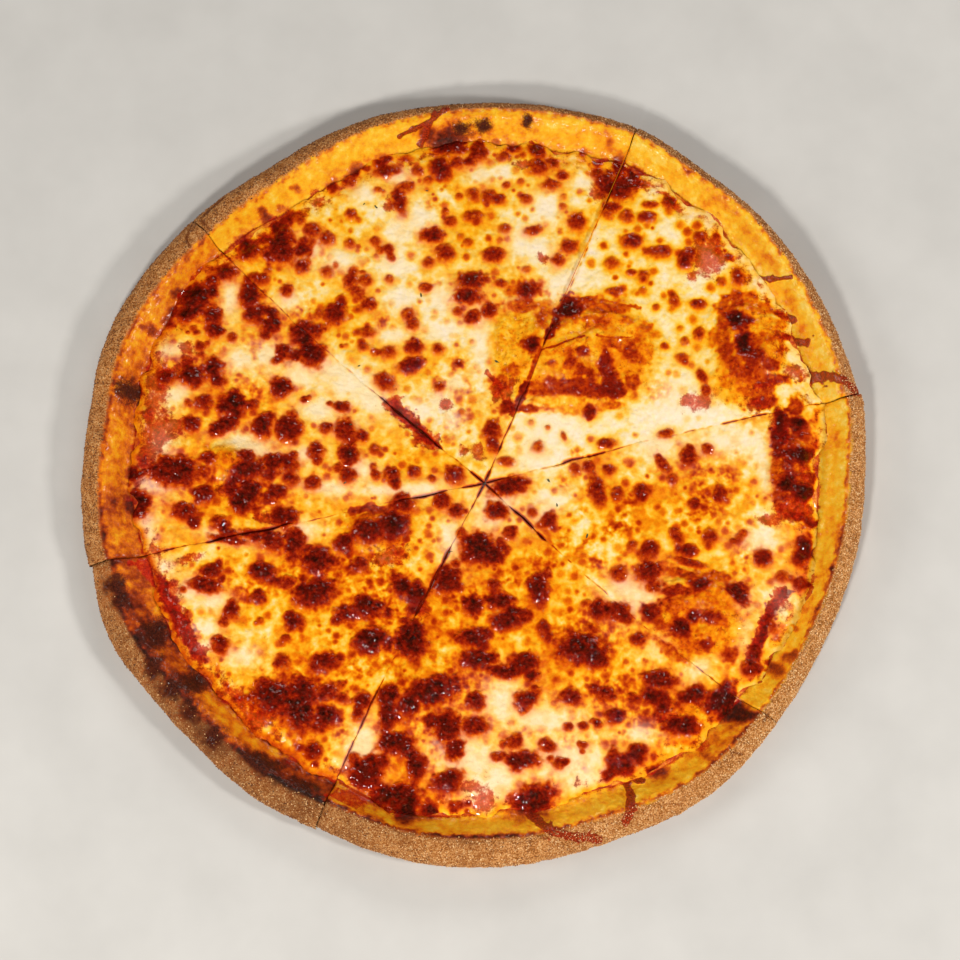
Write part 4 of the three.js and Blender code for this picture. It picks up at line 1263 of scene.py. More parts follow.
def cheese_piece(name, seed):
    """The cheese of a slice, from two lattices to a painted piece."""
    fine = FINE_CHEESE.get(name, USUAL_CHEESE)
    upper = lattice(*fine)
    lower = lattice(*COARSE_LATTICE)
    flat = read_points(lower)
    flat[:, 2] = -0.01
    move_points(lower, flat)
    upper_count = len(upper.data.vertices)
    select_only(upper, lower)
    bpy.ops.object.join()
    # the outlines of the two lattices are the only open edges
    with editing():
        bpy.ops.mesh.select_mode(type="EDGE")
        bpy.ops.mesh.select_all(action="DESELECT")
        bpy.ops.mesh.select_non_manifold(
            extend=False, use_wire=False, use_boundary=True,
            use_multi_face=False, use_non_contiguous=False, use_verts=False,
        )
        bpy.ops.mesh.bridge_edge_loops()

    # places on the plan
    out, across = lattice_shares(read_points(upper))
    start, end, _ = SLICES[name]
    tip = tip_radius(name, TIP_GAP)
    radius = tip + out * (cheese_rim(name, across) - tip)
    near_tip = smooth(radius, 2, 14)
    gaps = [lerp(TIP_GAP, cut_half_gap(cut, radius), near_tip) for cut in (start, end)]
    x, y = plan_point(name, across, radius, gaps)
    fields = cheese_fields(name, x, y, radius, across, seed)

    # thickness, relief and lips
    edges = slice_edges(name, radius, gaps)
    width = radius * (edges[1] - edges[0])
    to_cut = np.minimum(across, 1 - across) * width
    to_edge = (1 - out) * (cheese_rim(name, across) - tip)
    on_bubble = np.minimum(lift(DOUGH_BUBBLES, x, y) / HIGHEST_BUBBLE, 1)
    melted = lerp(CHEESE_THICKNESS, CHEESE_ON_BUBBLES, on_bubble)
    thick = lerp(0.6 * CHEESE_EDGE_THICKNESS, melted, smooth(to_edge, 0, 10))
    relief = cheese_relief(x, y, fields) + lift(CHEESE_DOMES, x, y) + 0.7 * fields["strings"]
    cover = (thick + relief * smooth(to_edge, 0, 6)) * (0.08 + 0.92 * smooth(to_edge, 0, 8.0))
    open_cut = np.where(across < 0.5, gaps[0], gaps[1])
    parted = smooth(open_cut, 0.0, 0.4)
    cover = cover - (0.06 + 0.8 * parted) * (1 - rounded_lip(to_cut, 0.5 + 0.8 * parted))
    is_upper = np.arange(len(x)) < upper_count
    bottom = cheese_bottom(name, across, radius, x, y, to_edge)
    z = np.where(is_upper, bottom + np.maximum(cover, THINNEST_CHEESE), bottom)
    move_points(upper, np.stack([x, y, z], axis=1) * MM)

    # painted shade along the cuts, wider and darker where they stand open, and the tone of the rim
    # where the cheese runs out
    frayed = np.clip(0.45 + 1.1 * rough(x, y, 5.0, 27, 2) + parted, 0, 1)
    seam_shade = np.exp(-((to_cut / (0.45 + 0.55 * parted)) ** 2)) * frayed
    fields["toast"] = np.maximum(fields["toast"], SEAM_SHADE_TOAST * seam_shade)
    rim_tone = RIM_TOAST[name] + 0.10 + 0.12 * rough(x, y, 5, 29, 2)
    on_rim = smooth(to_edge, 4.5, 0.5) * (1 - fields["brown"])
    fields["toast"] = np.clip(lerp(fields["toast"], rim_tone, 0.9 * on_rim), 0, 1)
    fields["sauce"] = fields["sauce"] * (1 - 0.5 * on_rim)
    fields["pale"] = fields["pale"] * (1 - on_rim)
    fields["sauce"] = np.maximum(fields["sauce"], np.where(is_upper, 0, 0.8))
    close_normals(upper)
    for field in ("toast", "brown", "sauce", "pale", "bare", "char"):
        paint(upper, field, fields[field])
    ready(upper, f"melted_cheese_{name}", f"cheese_{name}")
    return upper


cheese_pieces = [cheese_piece(name, 100 + i) for i, name in enumerate(SLICES)]

# %% [markdown]
# ## Crust and sauce share one way of building
#
# Only the outer part of the crust and of the sauce shows, so only that part is fine. The mesh is
# laid out flat like a cardboard net: a coarse lattice for the upper face, a fine strip that runs
# over the outer edge, and a coarse lattice for the underside. Bridging joins the three. The two
# open cut sides are filled while each lies flat, and then the points go to their real places.

# %% A slice's net
NET_FLOOR = (5, 8)
STRIP_NEAR, STRIP_FAR = -1.0, -2.0
UNDER_BASE = -2.5


def slice_net(columns, rows):
    """The joined net, with each point's kind (0 upper, 1 strip, 2 underside) and its shares."""
    upper = lattice(*NET_FLOOR)
    under = lattice(*NET_FLOOR)
    flat = read_points(under)
    flat[:, 1] = UNDER_BASE - 0.5 - flat[:, 1]
    move_points(under, flat)
    bpy.ops.object.select_all(action="DESELECT")
    bpy.ops.mesh.primitive_grid_add(x_subdivisions=columns, y_subdivisions=rows, size=2)
    strip = bpy.context.object
    flat = read_points(strip)
    flat[:, 0] *= math.sqrt(0.75)
    flat[:, 1] = lerp(STRIP_FAR, STRIP_NEAR, flat[:, 1] / 2 + 0.5)
    move_points(strip, flat)
    select_only(upper, strip, under)
    bpy.ops.object.join()
    flat = read_points(upper)
    for side, other in ((-0.5, STRIP_NEAR), (STRIP_FAR, UNDER_BASE)):
        on_side = np.abs(flat[:, 1] - side) < 1e-4
        on_other = np.abs(flat[:, 1] - other) < 1e-4
        select_edges(upper, on_side | on_other)
        with editing():
            bpy.ops.mesh.select_mode(type="EDGE")
        select_edges(upper, on_side | on_other)
        with editing():
            bpy.ops.mesh.bridge_edge_loops()
    kind = np.where(flat[:, 1] > -0.75, 0, np.where(flat[:, 1] > -2.25, 1, 2))
    mirrored = flat.copy()
    mirrored[:, 1] = np.where(kind == 2, UNDER_BASE - 0.5 - flat[:, 1], flat[:, 1])
    out, across = lattice_shares(mirrored)
    strip_across = flat[:, 0] / math.sqrt(0.75) / 2 + 0.5
    across = np.where(kind == 1, np.clip(strip_across, 0, 1), across)
    along = np.where(kind == 1, (STRIP_NEAR - flat[:, 1]) / (STRIP_NEAR - STRIP_FAR), out)
    return upper, kind, along, across


def fill_cut_sides(piece, kind, along, across, radius, z):
    """Joins the two tips by an edge and fills each open cut side while it is laid out flat."""
    tips = (kind != 1) & (along < 1e-6)
    piece.data.edges.add(1)
    piece.data.edges[-1].vertices = [int(i) for i in np.nonzero(tips)[0]]
    piece.data.update()
    for side in (0.0, 1.0):
        sideways = np.where(tips, side, across) * RIM_RADIUS
        move_points(piece, np.stack([radius, sideways, z], axis=1) * MM)
        on_side = (np.abs(across - side) < 1e-6) | tips
        select_edges(piece, on_side)
        with editing():
            bpy.ops.mesh.fill(use_beauty=True)


print("a net has lattices of", NET_FLOOR[0] * NET_FLOOR[1], "rows")

# %% [markdown]
# ## The crust
#
# The strip runs from the foot of the rim up its oily inner slope, over the toasted crest, down
# the dusted outer side and under. Soft lumps, dimples and a few cracks keep it from looking
# turned on a lathe. A wheel pinches the underside of a cut together, so a cut narrows downwards
# and is dark inside.

# %% Shape of the crust
CRUST_COLUMNS = {"top": 460, "bottom": 460}
USUAL_COLUMNS = 380
CRUST_ROWS = 100
UNDERSIDE_PINCH = 0.2
LEAST_HALF_CUT = 0.06


def rim_section(name, across, along):
    """Distance in from the outline and height, for shares along the strip's rows."""
    angle = bearing(name, across)
    outer, inner, crest = outer_slope(angle), inner_slope(angle), crest_height(angle)
    s = np.clip(along / CREST_AT, 0, 1)
    u = np.sin(np.clip((along - CREST_AT) / (EDGE_AT - CREST_AT), 0, 1) * math.pi / 2)
    w = np.clip((along - EDGE_AT) / (UNDER_AT - EDGE_AT), 0, 1) * math.pi / 2
    f = np.clip((along - UNDER_AT) / (1 - UNDER_AT), 0, 1)
    inside = (outer + inner * (1 - s), lerp(CRUST_FLOOR, crest, s * s * (3 - 2 * s)))
    outside = (outer * (1 - u), lerp(RIM_EDGE_HEIGHT, crest, np.sqrt(np.clip(1 - u**2, 0, 1))))
    under = (RIM_UNDERCUT * (1 - np.cos(w)), RIM_EDGE_HEIGHT * (1 - np.sin(w)))
    flat = (lerp(RIM_UNDERCUT, outer + inner, f), 0 * f)
    part = np.select([along <= CREST_AT, along <= EDGE_AT, along <= UNDER_AT], [0, 1, 2], 3)
    pick = [inside, outside, under, flat]
    inward = np.choose(part, [one[0] for one in pick])
    height = np.choose(part, [one[1] for one in pick])
    return inward, height, s


def crust_points(name, kind, along, across):
    """Place of every point of the crust's net, and its distance from the crossing."""
    inward, height, s = rim_section(name, across, along)
    tip = tip_radius(name, CUT_WIDTH / 2)
    foot = sauce_edge(name, across)
    radius = np.where(kind == 1, outline(name, across) - inward, tip + along * (foot - tip))
    start, end, _ = SLICES[name]
    parting = smooth(radius, 120, 150)
    pinch = np.where(kind == 2, UNDERSIDE_PINCH, 1.0)
    gaps = []
    for cut in (start, end):
        at_rim = np.maximum(cut_half_gap(cut, radius), 0.1)
        gaps.append(np.maximum(lerp(CUT_WIDTH / 2, at_rim, parting) * pinch, LEAST_HALF_CUT))
    x, y = plan_point(name, across, radius, gaps)
    floor = np.where(kind == 0, dough_top(x, y), 0)
    on_slope = (along <= CREST_AT) & (kind == 1)
    height = height + np.where(on_slope, lift(DOUGH_BUBBLES, x, y) * (1 - 0.8 * s), 0)
    z = np.where(kind == 1, height, floor)
    return x, y, z, radius


print("the crest is", crest_height(np.radians([0, 90, 180, 270])).round(1), "mm high")

# %% [markdown]
# The rim differs from side to side: at the upper right it is pale and narrowly dusted, while at
# the left and the lower left it is burnt. Its dusted outer side is also darker at the upper right
# and the top, with painted shade where it turns from the light.

# %% Tones round the rim
# How much sauce crept up the rim of each slice.
RIM_REDDENING = {
    "upper_right": 0.5, "top": 0.5, "left": 0.7, "lower_left": 0.75, "bottom": 0.6, "right": 0.55,
}
# Width of the dusted band seen from above, in millimetres, by direction in degrees.
DUST_WIDTH = [
    (0, 8.5), (20, 6.5), (45, 4.6), (80, 4.6), (98, 5.0), (115, 8.5), (135, 11.5), (160, 9.5),
    (185, 8.5), (215, 10.5), (245, 11.5), (270, 12.5), (300, 10.0), (330, 8.0), (360, 8.5),
]
# Toast of the dusted outer side, by direction in degrees: burnt at the lower left, and darker at
# the upper right and the top with painted shade where the side turns from the light.
OUTSIDE_TOAST = [
    (0, 0.16), (25, 0.50), (60, 0.62), (100, 0.54), (140, 0.44), (180, 0.44), (200, 0.58),
    (225, 0.72), (242, 0.68), (255, 0.50), (275, 0.40), (300, 0.32), (330, 0.15), (360, 0.16),
]
# Golden places between the burnt ones on the rim at the lower left.
GOLDEN_RIM_PLACES = [
    (120, 576, 7, 7), (128, 583, 10, 6, -40), (160, 611, 10, 12), (149, 598, 8, 9),
    (178, 662, 10, 8), (168, 650, 8, 7), (209, 700, 9, 13, 30), (222, 716, 9, 10),
    (236, 731, 10, 12, 30), (250, 745, 12, 6, -30), (272, 752, 12, 5, -25),
]
widths = [width for _, width in DUST_WIDTH]
print("the dusted band is", min(widths), "to", max(widths), "mm wide")

# %% [markdown]
# The crest stands nearest to the heat and toasts first, the inner slope is golden with oil, and
# the outer side is dull with dust. These fields go by the way round the rim and the way over it,
# which keeps a pattern even round the bend.

# %% Browning of the crust
def crust_fields(name, x, y, along, across, kind):
    """Where the rim is toasted, burnt and dusted."""
    inward = rim_section(name, across, along)[0]
    angle = bearing(name, across)
    round_rim, over_rim = angle * RIM_RADIUS, along * STRIP_LENGTH
    soft, mid = rough(round_rim, over_rim, 16, 61, 2), rough(round_rim, over_rim, 5, 62, 2)
    fine = rough(round_rim, over_rim, 1.5, 63, 2)
    on_strip = kind == 1
    above = (along < EDGE_AT) & on_strip

    # the dusted band seen from above, and the crest beside it
    dust_angles, dust_widths = zip(*DUST_WIDTH)
    dusty = np.interp(np.degrees(angle) % 360, dust_angles, dust_widths) + 0.9 * mid + 0.5 * fine
    within = np.where(along > EDGE_AT, 0, inward)
    crest = np.exp(-(((within - dusty - 0.6) / 1.1) ** 2)) * on_strip

    # what was read off the photo
    blistered = blister_toast(name, x, y)
    crept = spot_field(RED_PLACES, x, y, 4.5, 0.45, seed=5)
    streaks = line_field(SAUCE_STREAKS, x, y, 8)
    toasted = spot_field(TOASTED_PLACES, x, y, 2.5, 0.45, 1.12, 64)
    burnt = spot_field(BURNT_PLACES, x, y, 3.5, 0.45, 1.0, 65)
    scorched = spot_field(BURNT_PLACES, x, y, 3.0, 0.5, 1.4, 65)
    strings = line_field(BURNT_STRINGS, x, y, 66)
    cracks = line_field(CRACKS, x, y, 67)
    golden = spot_field(GOLDEN_RIM_PLACES, x, y, 3.5, 0.5, 1.1, 69)

    # sauce that crept up the foot of the rim
    rows = smooth(along, 0.34, 0.0) * on_strip
    reddened = RIM_REDDENING[name] * rows + 0.75 * rough(x, y, 6, 68, 3) * (rows > 0.02) - 0.45
    reddened = np.maximum(reddened, np.maximum(0.8 * crept, streaks) * (rows > 0.02))
    reddened = reddened * (1 - 0.8 * golden)

    # toast, the crest a little darker than the rest
    uneven = smooth(np.sin(angle - 0.6) + 0.6 * soft, 0.6, -0.7)
    toast = RIM_TOAST[name] + 0.08 * soft + 0.15 * mid + 0.05 * fine
    toast = toast + crest * (0.14 + 0.20 * uneven + 0.16 * mid) + 0.14 * rows * RIM_REDDENING[name]
    toast = toast + (0.20 + 0.10 * mid - toast) * 0.9 * golden * above
    toast = toast + 0.24 * toasted * above + 0.22 * scorched * above
    toast = np.maximum(toast, blistered * (1 + 0.12 * fine) * above)
    dusted = smooth(within, dusty + 0.9, dusty - 1.2) * on_strip
    # the dusted side's toast by direction: its baking, and painted shade where it turns from the light
    outside = np.interp(np.degrees(angle) % 360, *zip(*OUTSIDE_TOAST)) + 0.10 * soft + 0.08 * mid
    toast = lerp(toast, np.maximum(outside, toast - 0.1), dusted)
    return {
        "toast": np.clip(toast, 0, 1),
        "char": np.clip(burnt * above, 0, 1),
        "dusted": np.clip(dusted * (1 - 0.6 * burnt * above), 0, 1),
        "sauce": np.clip(np.where(on_strip, reddened + 0.5 * smooth(along, 0.06, 0.0), 1), 0, 1),
        "cracks": cracks * above,
        "strings": strings * above,
        "fine": fine,
    }


print("places that can burn the rim:", len(BURNT_PLACES) + len(TOASTED_PLACES))

# %% [markdown]
# The net gets its points, then lumps, pores and a rounded shoulder at each cut. Burnt strings
# stand up, and cracks go in. The function also tells where semolina can cling.

# %% Build the crust
CRUST_STANDS_OUT = 0.05
SHOULDER_DROP = 1.3
SHOULDER_WIDTH = 2.2


def crust_piece(name):
    columns = CRUST_COLUMNS.get(name, USUAL_COLUMNS)
    piece, kind, along, across = slice_net(columns, CRUST_ROWS)
    x, y, z, radius = crust_points(name, kind, along, across)
    fields = crust_fields(name, x, y, along, across, kind)

    on_rim = (kind == 1) * on_skin(along)
    round_rim, over_rim = bearing(name, across) * RIM_RADIUS, along * STRIP_LENGTH
    pores = 0.16 * rough(round_rim, over_rim, 1.3, 73, 2) * (0.5 + 2 * fields["char"])
    raised = 0.8 * fields["strings"] - 0.45 * fields["cracks"]
    out_x, out_y = (x - CROSSING[0]) / radius, (y - CROSSING[1]) / radius
    side = np.clip((along - CREST_AT) / (EDGE_AT - CREST_AT), 0, 1) * (kind == 1)
    push = rim_lumps(name, across, along) * (kind == 1) + (pores + raised) * on_rim
    width = radius * (bearing(name, 1.0) - bearing(name, 0.0))
    to_cut = np.minimum(across, 1 - across) * width
    shoulder = SHOULDER_DROP * (1 - rounded_lip(to_cut, SHOULDER_WIDTH))
    shoulder = shoulder * on_rim * (along < EDGE_AT)
    x = x + out_x * push * side * 0.8
    y = y + out_y * push * side * 0.8
    z = z + push * (1 - 0.8 * side) - shoulder
    highest = solid_box[1][2] / MM + CRUST_STANDS_OUT
    z = np.clip(z, 0, highest)
    fill_cut_sides(piece, kind, along, across, radius, z)
    move_points(piece, np.stack([x, y, z], axis=1) * MM)
    close_normals(piece)
    for field in ("toast", "char", "dusted", "sauce", "cracks", "strings"):
        paint(piece, field, fields[field])
    ready(piece, f"baked_crust_{name}", f"crust_{name}")
    strip = kind == 1
    clinging = (along < UNDER_AT)[strip] * fields["dusted"][strip]
    return np.stack([x, y, z], axis=1)[strip], clinging, fields["char"][strip]


rim_points = [crust_piece(name) for name in SLICES]

# %% [markdown]
# ## The sauce
#
# Sauce shows as a wet red band between the cheese and the rim. It is the same net again with
# fewer rows: under the cheese it is a smooth film, and outside it is lumpy with tomato.

# %% Build the sauce
SAUCE_COLUMNS = 300
SAUCE_ROWS = 34
SAUCE_STRIP = 14.0
SAUCE_BRIM_AT = 0.86


def sauce_piece(name):
    piece, kind, along, across = slice_net(SAUCE_COLUMNS, SAUCE_ROWS)
    edge = sauce_edge(name, across) - 0.15
    tip = tip_radius(name, CUT_WIDTH / 2)
    inner = edge - SAUCE_STRIP
    over = np.clip(along / SAUCE_BRIM_AT, 0, 1)
    back = np.clip((along - SAUCE_BRIM_AT) / (1 - SAUCE_BRIM_AT), 0, 1)
    outward, inward = lerp(inner, edge, over), lerp(edge, inner, back)
    strip_radius = np.where(along <= SAUCE_BRIM_AT, outward, inward)
    radius = np.where(kind == 1, strip_radius, tip + along * (inner - tip))
    x, y = plan_point(name, across, radius)
    bottom = dough_top(x, y) + LAYER_GAP
    shows = smooth(radius - cheese_rim(name, across), -0.5, 1.5)
    lumps = shows * (0.35 * rough(x, y, 2.6, 81, 2) + 0.25 * rough(x, y, 6, 82, 2) + 0.25)
    film = lerp(SAUCE_EDGE_THICKNESS, SAUCE_THICKNESS, smooth(edge - radius, 0, 4))
    upper = (kind == 0) | ((kind == 1) & (along <= SAUCE_BRIM_AT))
    thickness = np.maximum(film + lumps * smooth(edge - radius, 0, 1.5), 0.2)
    z = np.where(upper, bottom + thickness, bottom)
    fill_cut_sides(piece, kind, along, across, radius, z)
    move_points(piece, np.stack([x, y, z], axis=1) * MM)
    close_normals(piece)
    paint(piece, "toast", np.clip(0.5 + 0.5 * rough(x, y, 7, 83, 3), 0, 1))
    ready(piece, f"tomato_sauce_{name}", f"sauce_{name}")


for name in SLICES:
    sauce_piece(name)


# %% [markdown]
# ## Semolina on the rim
#
# The dough was shaped on coarse semolina, and thousands of grains stuck to its outer side. One
# grain is a squashed octahedron. It is copied at seeded places on the rim's own surface into a
# single mesh, and each grain keeps its own tone.

# %% Scatter the semolina
GRAIN_COUNT = 24500
GRAIN_SIZE = (0.20, 0.44)
GRAINS_STAND_OUT = 0.4
OCTAHEDRON = np.array([(1, 0, 0), (-1, 0, 0), (0, 1, 0), (0, -1, 0), (0, 0, 1), (0, 0, -1)], float)
OCTAHEDRON_FACES = np.array([
    (0, 2, 4), (2, 1, 4), (1, 3, 4), (3, 0, 4), (2, 0, 5), (1, 2, 5), (3, 1, 5), (0, 3, 5),
])


def random_turns(draw, count):
    """One random rotation matrix for each grain."""
    q = draw.normal(size=(count, 4))
    q /= np.linalg.norm(q, axis=1, keepdims=True)
    w, a, b, c = q.T
    return np.stack([
        np.stack([1 - 2 * (b * b + c * c), 2 * (a * b - c * w), 2 * (a * c + b * w)], axis=1),
        np.stack([2 * (a * b + c * w), 1 - 2 * (a * a + c * c), 2 * (b * c - a * w)], axis=1),
        np.stack([2 * (a * c - b * w), 2 * (b * c + a * w), 1 - 2 * (a * a + b * b)], axis=1),
    ], axis=1)


def scatter_grains(places, sizes, tones, draw):
    """A mesh of grains at the given places."""
    count = len(places)
    stretch = draw.uniform(0.6, 1.25, size=(count, 1, 3))
    shapes = OCTAHEDRON[None] * stretch * sizes[:, None, None]
    shapes = np.einsum("nij,nkj->nki", random_turns(draw, count), shapes) + places[:, None, :]
    faces = OCTAHEDRON_FACES[None] + (np.arange(count) * 6)[:, None, None]
    mesh = bpy.data.meshes.new("semolina")
    mesh.from_pydata(shapes.reshape(-1, 3) * MM, [], faces.reshape(-1, 3).tolist())
    piece = bpy.data.objects.new("semolina", mesh)
    bpy.context.scene.collection.objects.link(piece)
    paint(piece, "tone", np.repeat(tones, 6))
    return piece


draw = np.random.default_rng(7)
points = np.concatenate([one[0] for one in rim_points])
dusted = np.concatenate([one[1] for one in rim_points])
char = np.concatenate([one[2] for one in rim_points])
clinging = dusted * (1 - 0.85 * char)
patchy = 0.75 + 0.45 * rough(points[:, 0], points[:, 1], 9, 91, 2)
weights = clinging * np.clip(patchy, 0.1, 1.4)
chosen = draw.choice(len(points), GRAIN_COUNT, replace=False, p=weights / weights.sum())
places = points[chosen] + draw.uniform(-0.15, 0.15, size=(GRAIN_COUNT, 3))
sizes = draw.uniform(*GRAIN_SIZE, size=GRAIN_COUNT)
highest = solid_box[1][2] / MM + GRAINS_STAND_OUT
places[:, 2] = np.clip(places[:, 2], 1.25 * sizes, highest - 1.25 * sizes)
# Grains are lighter towards the lower right and darker towards the upper left: partly uneven toasting,
# partly painted light and shade by the side the rim turns to.
shaded = (points[chosen, 0] * 0.85 - points[chosen, 1] * 0.5) / RIM_RADIUS
tones = draw.uniform(-0.10, 0.90, GRAIN_COUNT) + 0.28 * np.clip(shaded, -1, 1)
semolina = scatter_grains(places, sizes, np.clip(tones, 0, 1), draw)
ready(semolina, "semolina_grains", None)

# %% [markdown]
# ## Flecks of herb
#
# A few specks of dried oregano lie on the cheese, at pixels read off the photo. Each starts as a
# small grid that is narrowed to a leaf, bent and given a thickness.

# %% Herb flecks
HERB_FLECKS = [
    (427, 191), (560, 301), (364, 204), (376, 207), (421, 295), (446, 557), (450, 552), (359, 366),
    (345, 483), (549, 481), (557, 505), (497, 362), (587, 536), (351, 425),
]
FLECK_LENGTH = (1.0, 2.6)
FLECK_THICKNESS = 0.12


def herb_fleck(at, length, turn, lean):
    bpy.ops.object.select_all(action="DESELECT")
    bpy.ops.mesh.primitive_grid_add(x_subdivisions=6, y_subdivisions=3, size=2)
    fleck = bpy.context.object
    flat = read_points(fleck)
    u, v = flat[:, 0], flat[:, 1]
    x = u * length / 2
    y = v * length * 0.2 * np.sqrt(np.clip(1.04 - u**2, 0, 1))
    z = 0.18 * length * (u**2 * 0.6 - v**2 * 0.3) + lean * x
    c, s = math.cos(turn), math.sin(turn)
    points = np.stack([c * x - s * y + at[0], s * x + c * y + at[1], z + at[2]], axis=1)
    move_points(fleck, points * MM)
    shell = fleck.modifiers.new("thickness", "SOLIDIFY")
    shell.thickness = FLECK_THICKNESS * MM
    select_only(fleck)
    bpy.ops.object.modifier_apply(modifier=shell.name)
    return fleck


def surface_height(x, y):
    """Height of the cheese under a point, found by looking straight down."""
    graph = bpy.context.evaluated_depsgraph_get()
    start = Vector((x * MM, y * MM, 0.05))
    hit, place, *_ = bpy.context.scene.ray_cast(graph, start, Vector((0, 0, -1)))
    return place.z / MM if hit else CRUST_FLOOR


draw = np.random.default_rng(11)
flecks = []
for pixel in HERB_FLECKS:
    x, y = on_plan(*pixel)
    place = (x, y, surface_height(x, y) + 0.15)
    size = draw.uniform(*FLECK_LENGTH)
    flecks.append(herb_fleck(place, size, draw.uniform(0, TAU), draw.uniform(-0.15, 0.15)))
select_only(*flecks)
bpy.ops.object.join()
ready(flecks[0], "herb_flecks", None)
herbs = flecks[0]

# %% [markdown]
# ## Finishes
#
# A finish is a small program of nodes. Writing it as ordinary maths keeps it readable: the class
# below wraps a socket, so adding or multiplying two of them adds the Math nodes.

# %% Colours and signals
def colour(red, green, blue):
    """A colour read as it looks on a screen, 0 to 255, turned to the linear values of a shader."""
    def linear(c):
        c = c / 255
        return c / 12.92 if c <= 0.04045 else ((c + 0.055) / 1.055) ** 2.4
    return (linear(red), linear(green), linear(blue), 1.0)


class Signal:
    """The output of a node, usable in sums and products."""

    def __init__(self, finish, socket):
        self.finish = finish
        self.socket = socket

    def maths(self, operation, *values):
        settings = {"operation": operation}
        return self.finish.node("ShaderNodeMath", settings, dict(enumerate(values)))

    def __add__(self, other):
        return self.maths("ADD", self, other)

    __radd__ = __add__

    def __mul__(self, other):
        return self.maths("MULTIPLY", self, other)

    __rmul__ = __mul__

    def __sub__(self, other):
        return self.maths("SUBTRACT", self, other)

    def __rsub__(self, other):
        return self.maths("SUBTRACT", other, self)

    def clamped(self):
        return self.maths("MAXIMUM", self.maths("MINIMUM", self, 1.0), 0.0)

    def at_most(self, other):
        return self.maths("MINIMUM", self, other)

    def stepped(self, low, high):
        """0 below low, 1 above high and smooth between them."""
        settings = {"interpolation_type": "SMOOTHSTEP"}
        return self.finish.node("ShaderNodeMapRange", settings, {"Value": self, 1: low, 2: high})


print("cream is", [round(c, 3) for c in colour(255, 238, 196)[:3]])

# %% [markdown]
# A finish holds the material that is being written. One method makes every node from its settings
# and inputs, and the short ones after it only spare typing: a painted field, noise of a size in
# millimetres, a ramp, a blend and a bump.

# %% A finish
class Finish:
    """A material that is being written."""

    def __init__(self, name):
        self.material = bpy.data.materials.new(name)
        self.material.use_nodes = True
        self.tree = self.material.node_tree
        self.shader = self.tree.nodes["Principled BSDF"]

    def node(self, kind, settings, inputs, output=0):
        made = self.tree.nodes.new(kind)
        for key, value in settings.items():
            if key == "stops":
                self.set_stops(made.color_ramp, value)
            else:
                setattr(made, key, value)
        for key, value in inputs.items():
            self.feed(made.inputs[key], value)
        return Signal(self, made.outputs[output])

    def feed(self, socket, value):
        if isinstance(value, Signal):
            self.tree.links.new(value.socket, socket)
        else:
            socket.default_value = value

    def set_stops(self, ramp, stops):
        while len(ramp.elements) < len(stops):
            ramp.elements.new(0.5)
        for element, (place, shade) in zip(ramp.elements, stops):
            element.position = place
            element.color = shade

    def field(self, name):
        return self.node("ShaderNodeAttribute", {"attribute_name": name}, {}, output=2)

    def place(self):
        return self.node("ShaderNodeTexCoord", {}, {}, output=3)

    def noise(self, size, detail=3.0, roughness=0.55, offset=0.0):
        """Noise whose grain is about `size` millimetres, from 0 to 1."""
        inputs = {"Location": (offset, offset * 0.7, 0.0)}
        moved = self.node("ShaderNodeMapping", {}, {"Vector": self.place(), **inputs})
        inputs = {"Scale": 1 / (size * MM), "Detail": detail, "Roughness": roughness}
        return self.node("ShaderNodeTexNoise", {}, {"Vector": moved, **inputs})

    def ramp(self, value, stops):
        return self.node("ShaderNodeValToRGB", {"stops": stops}, {0: value})

    def blend(self, share, first, second, mode="MIX"):
        settings = {"data_type": "RGBA", "blend_type": mode}
        return self.node("ShaderNodeMix", settings, {0: share, 6: first, 7: second}, output=2)

    def bump(self, height, strength, distance):
        inputs = {"Height": height, "Strength": strength, "Distance": distance * MM}
        return self.node("ShaderNodeBump", {}, inputs)

    def set(self, **sockets):
        for key, value in sockets.items():
            self.feed(self.shader.inputs[key.replace("_", " ")], value)

    def give_to(self, *pieces):
        for piece in pieces:
            piece.data.materials.clear()
            piece.data.materials.append(self.material)


print("materials so far:", len(bpy.data.materials))

# %% [markdown]
# ## Cheese
#
# One ramp carries the whole story of browning cheese. Speckles of one millimetre and mottling of
# three break up its bands. Pale milk, sauce and burnt spots are laid over it. Oil lies on it in
# patches only: a thin smooth coat there, over a bump of small wrinkles, gives the glints on the
# blisters.

# %% Cheese finish
BROWNING = [
    (0.00, colour(255, 236, 206)),
    (0.09, colour(254, 226, 158)),
    (0.19, colour(254, 206, 86)),
    (0.29, colour(252, 180, 30)),
    (0.39, colour(242, 140, 8)),
    (0.49, colour(220, 94, 4)),
    (0.59, colour(184, 52, 2)),
    (0.70, colour(144, 22, 2)),
    (0.84, colour(102, 9, 1)),
    (1.00, colour(46, 4, 1)),
]
REDDENING = [
    (0.00, colour(246, 150, 70)),
    (0.22, colour(226, 84, 24)),
    (0.42, colour(206, 34, 8)),
    (0.62, colour(154, 14, 3)),
    (0.85, colour(96, 7, 2)),
]

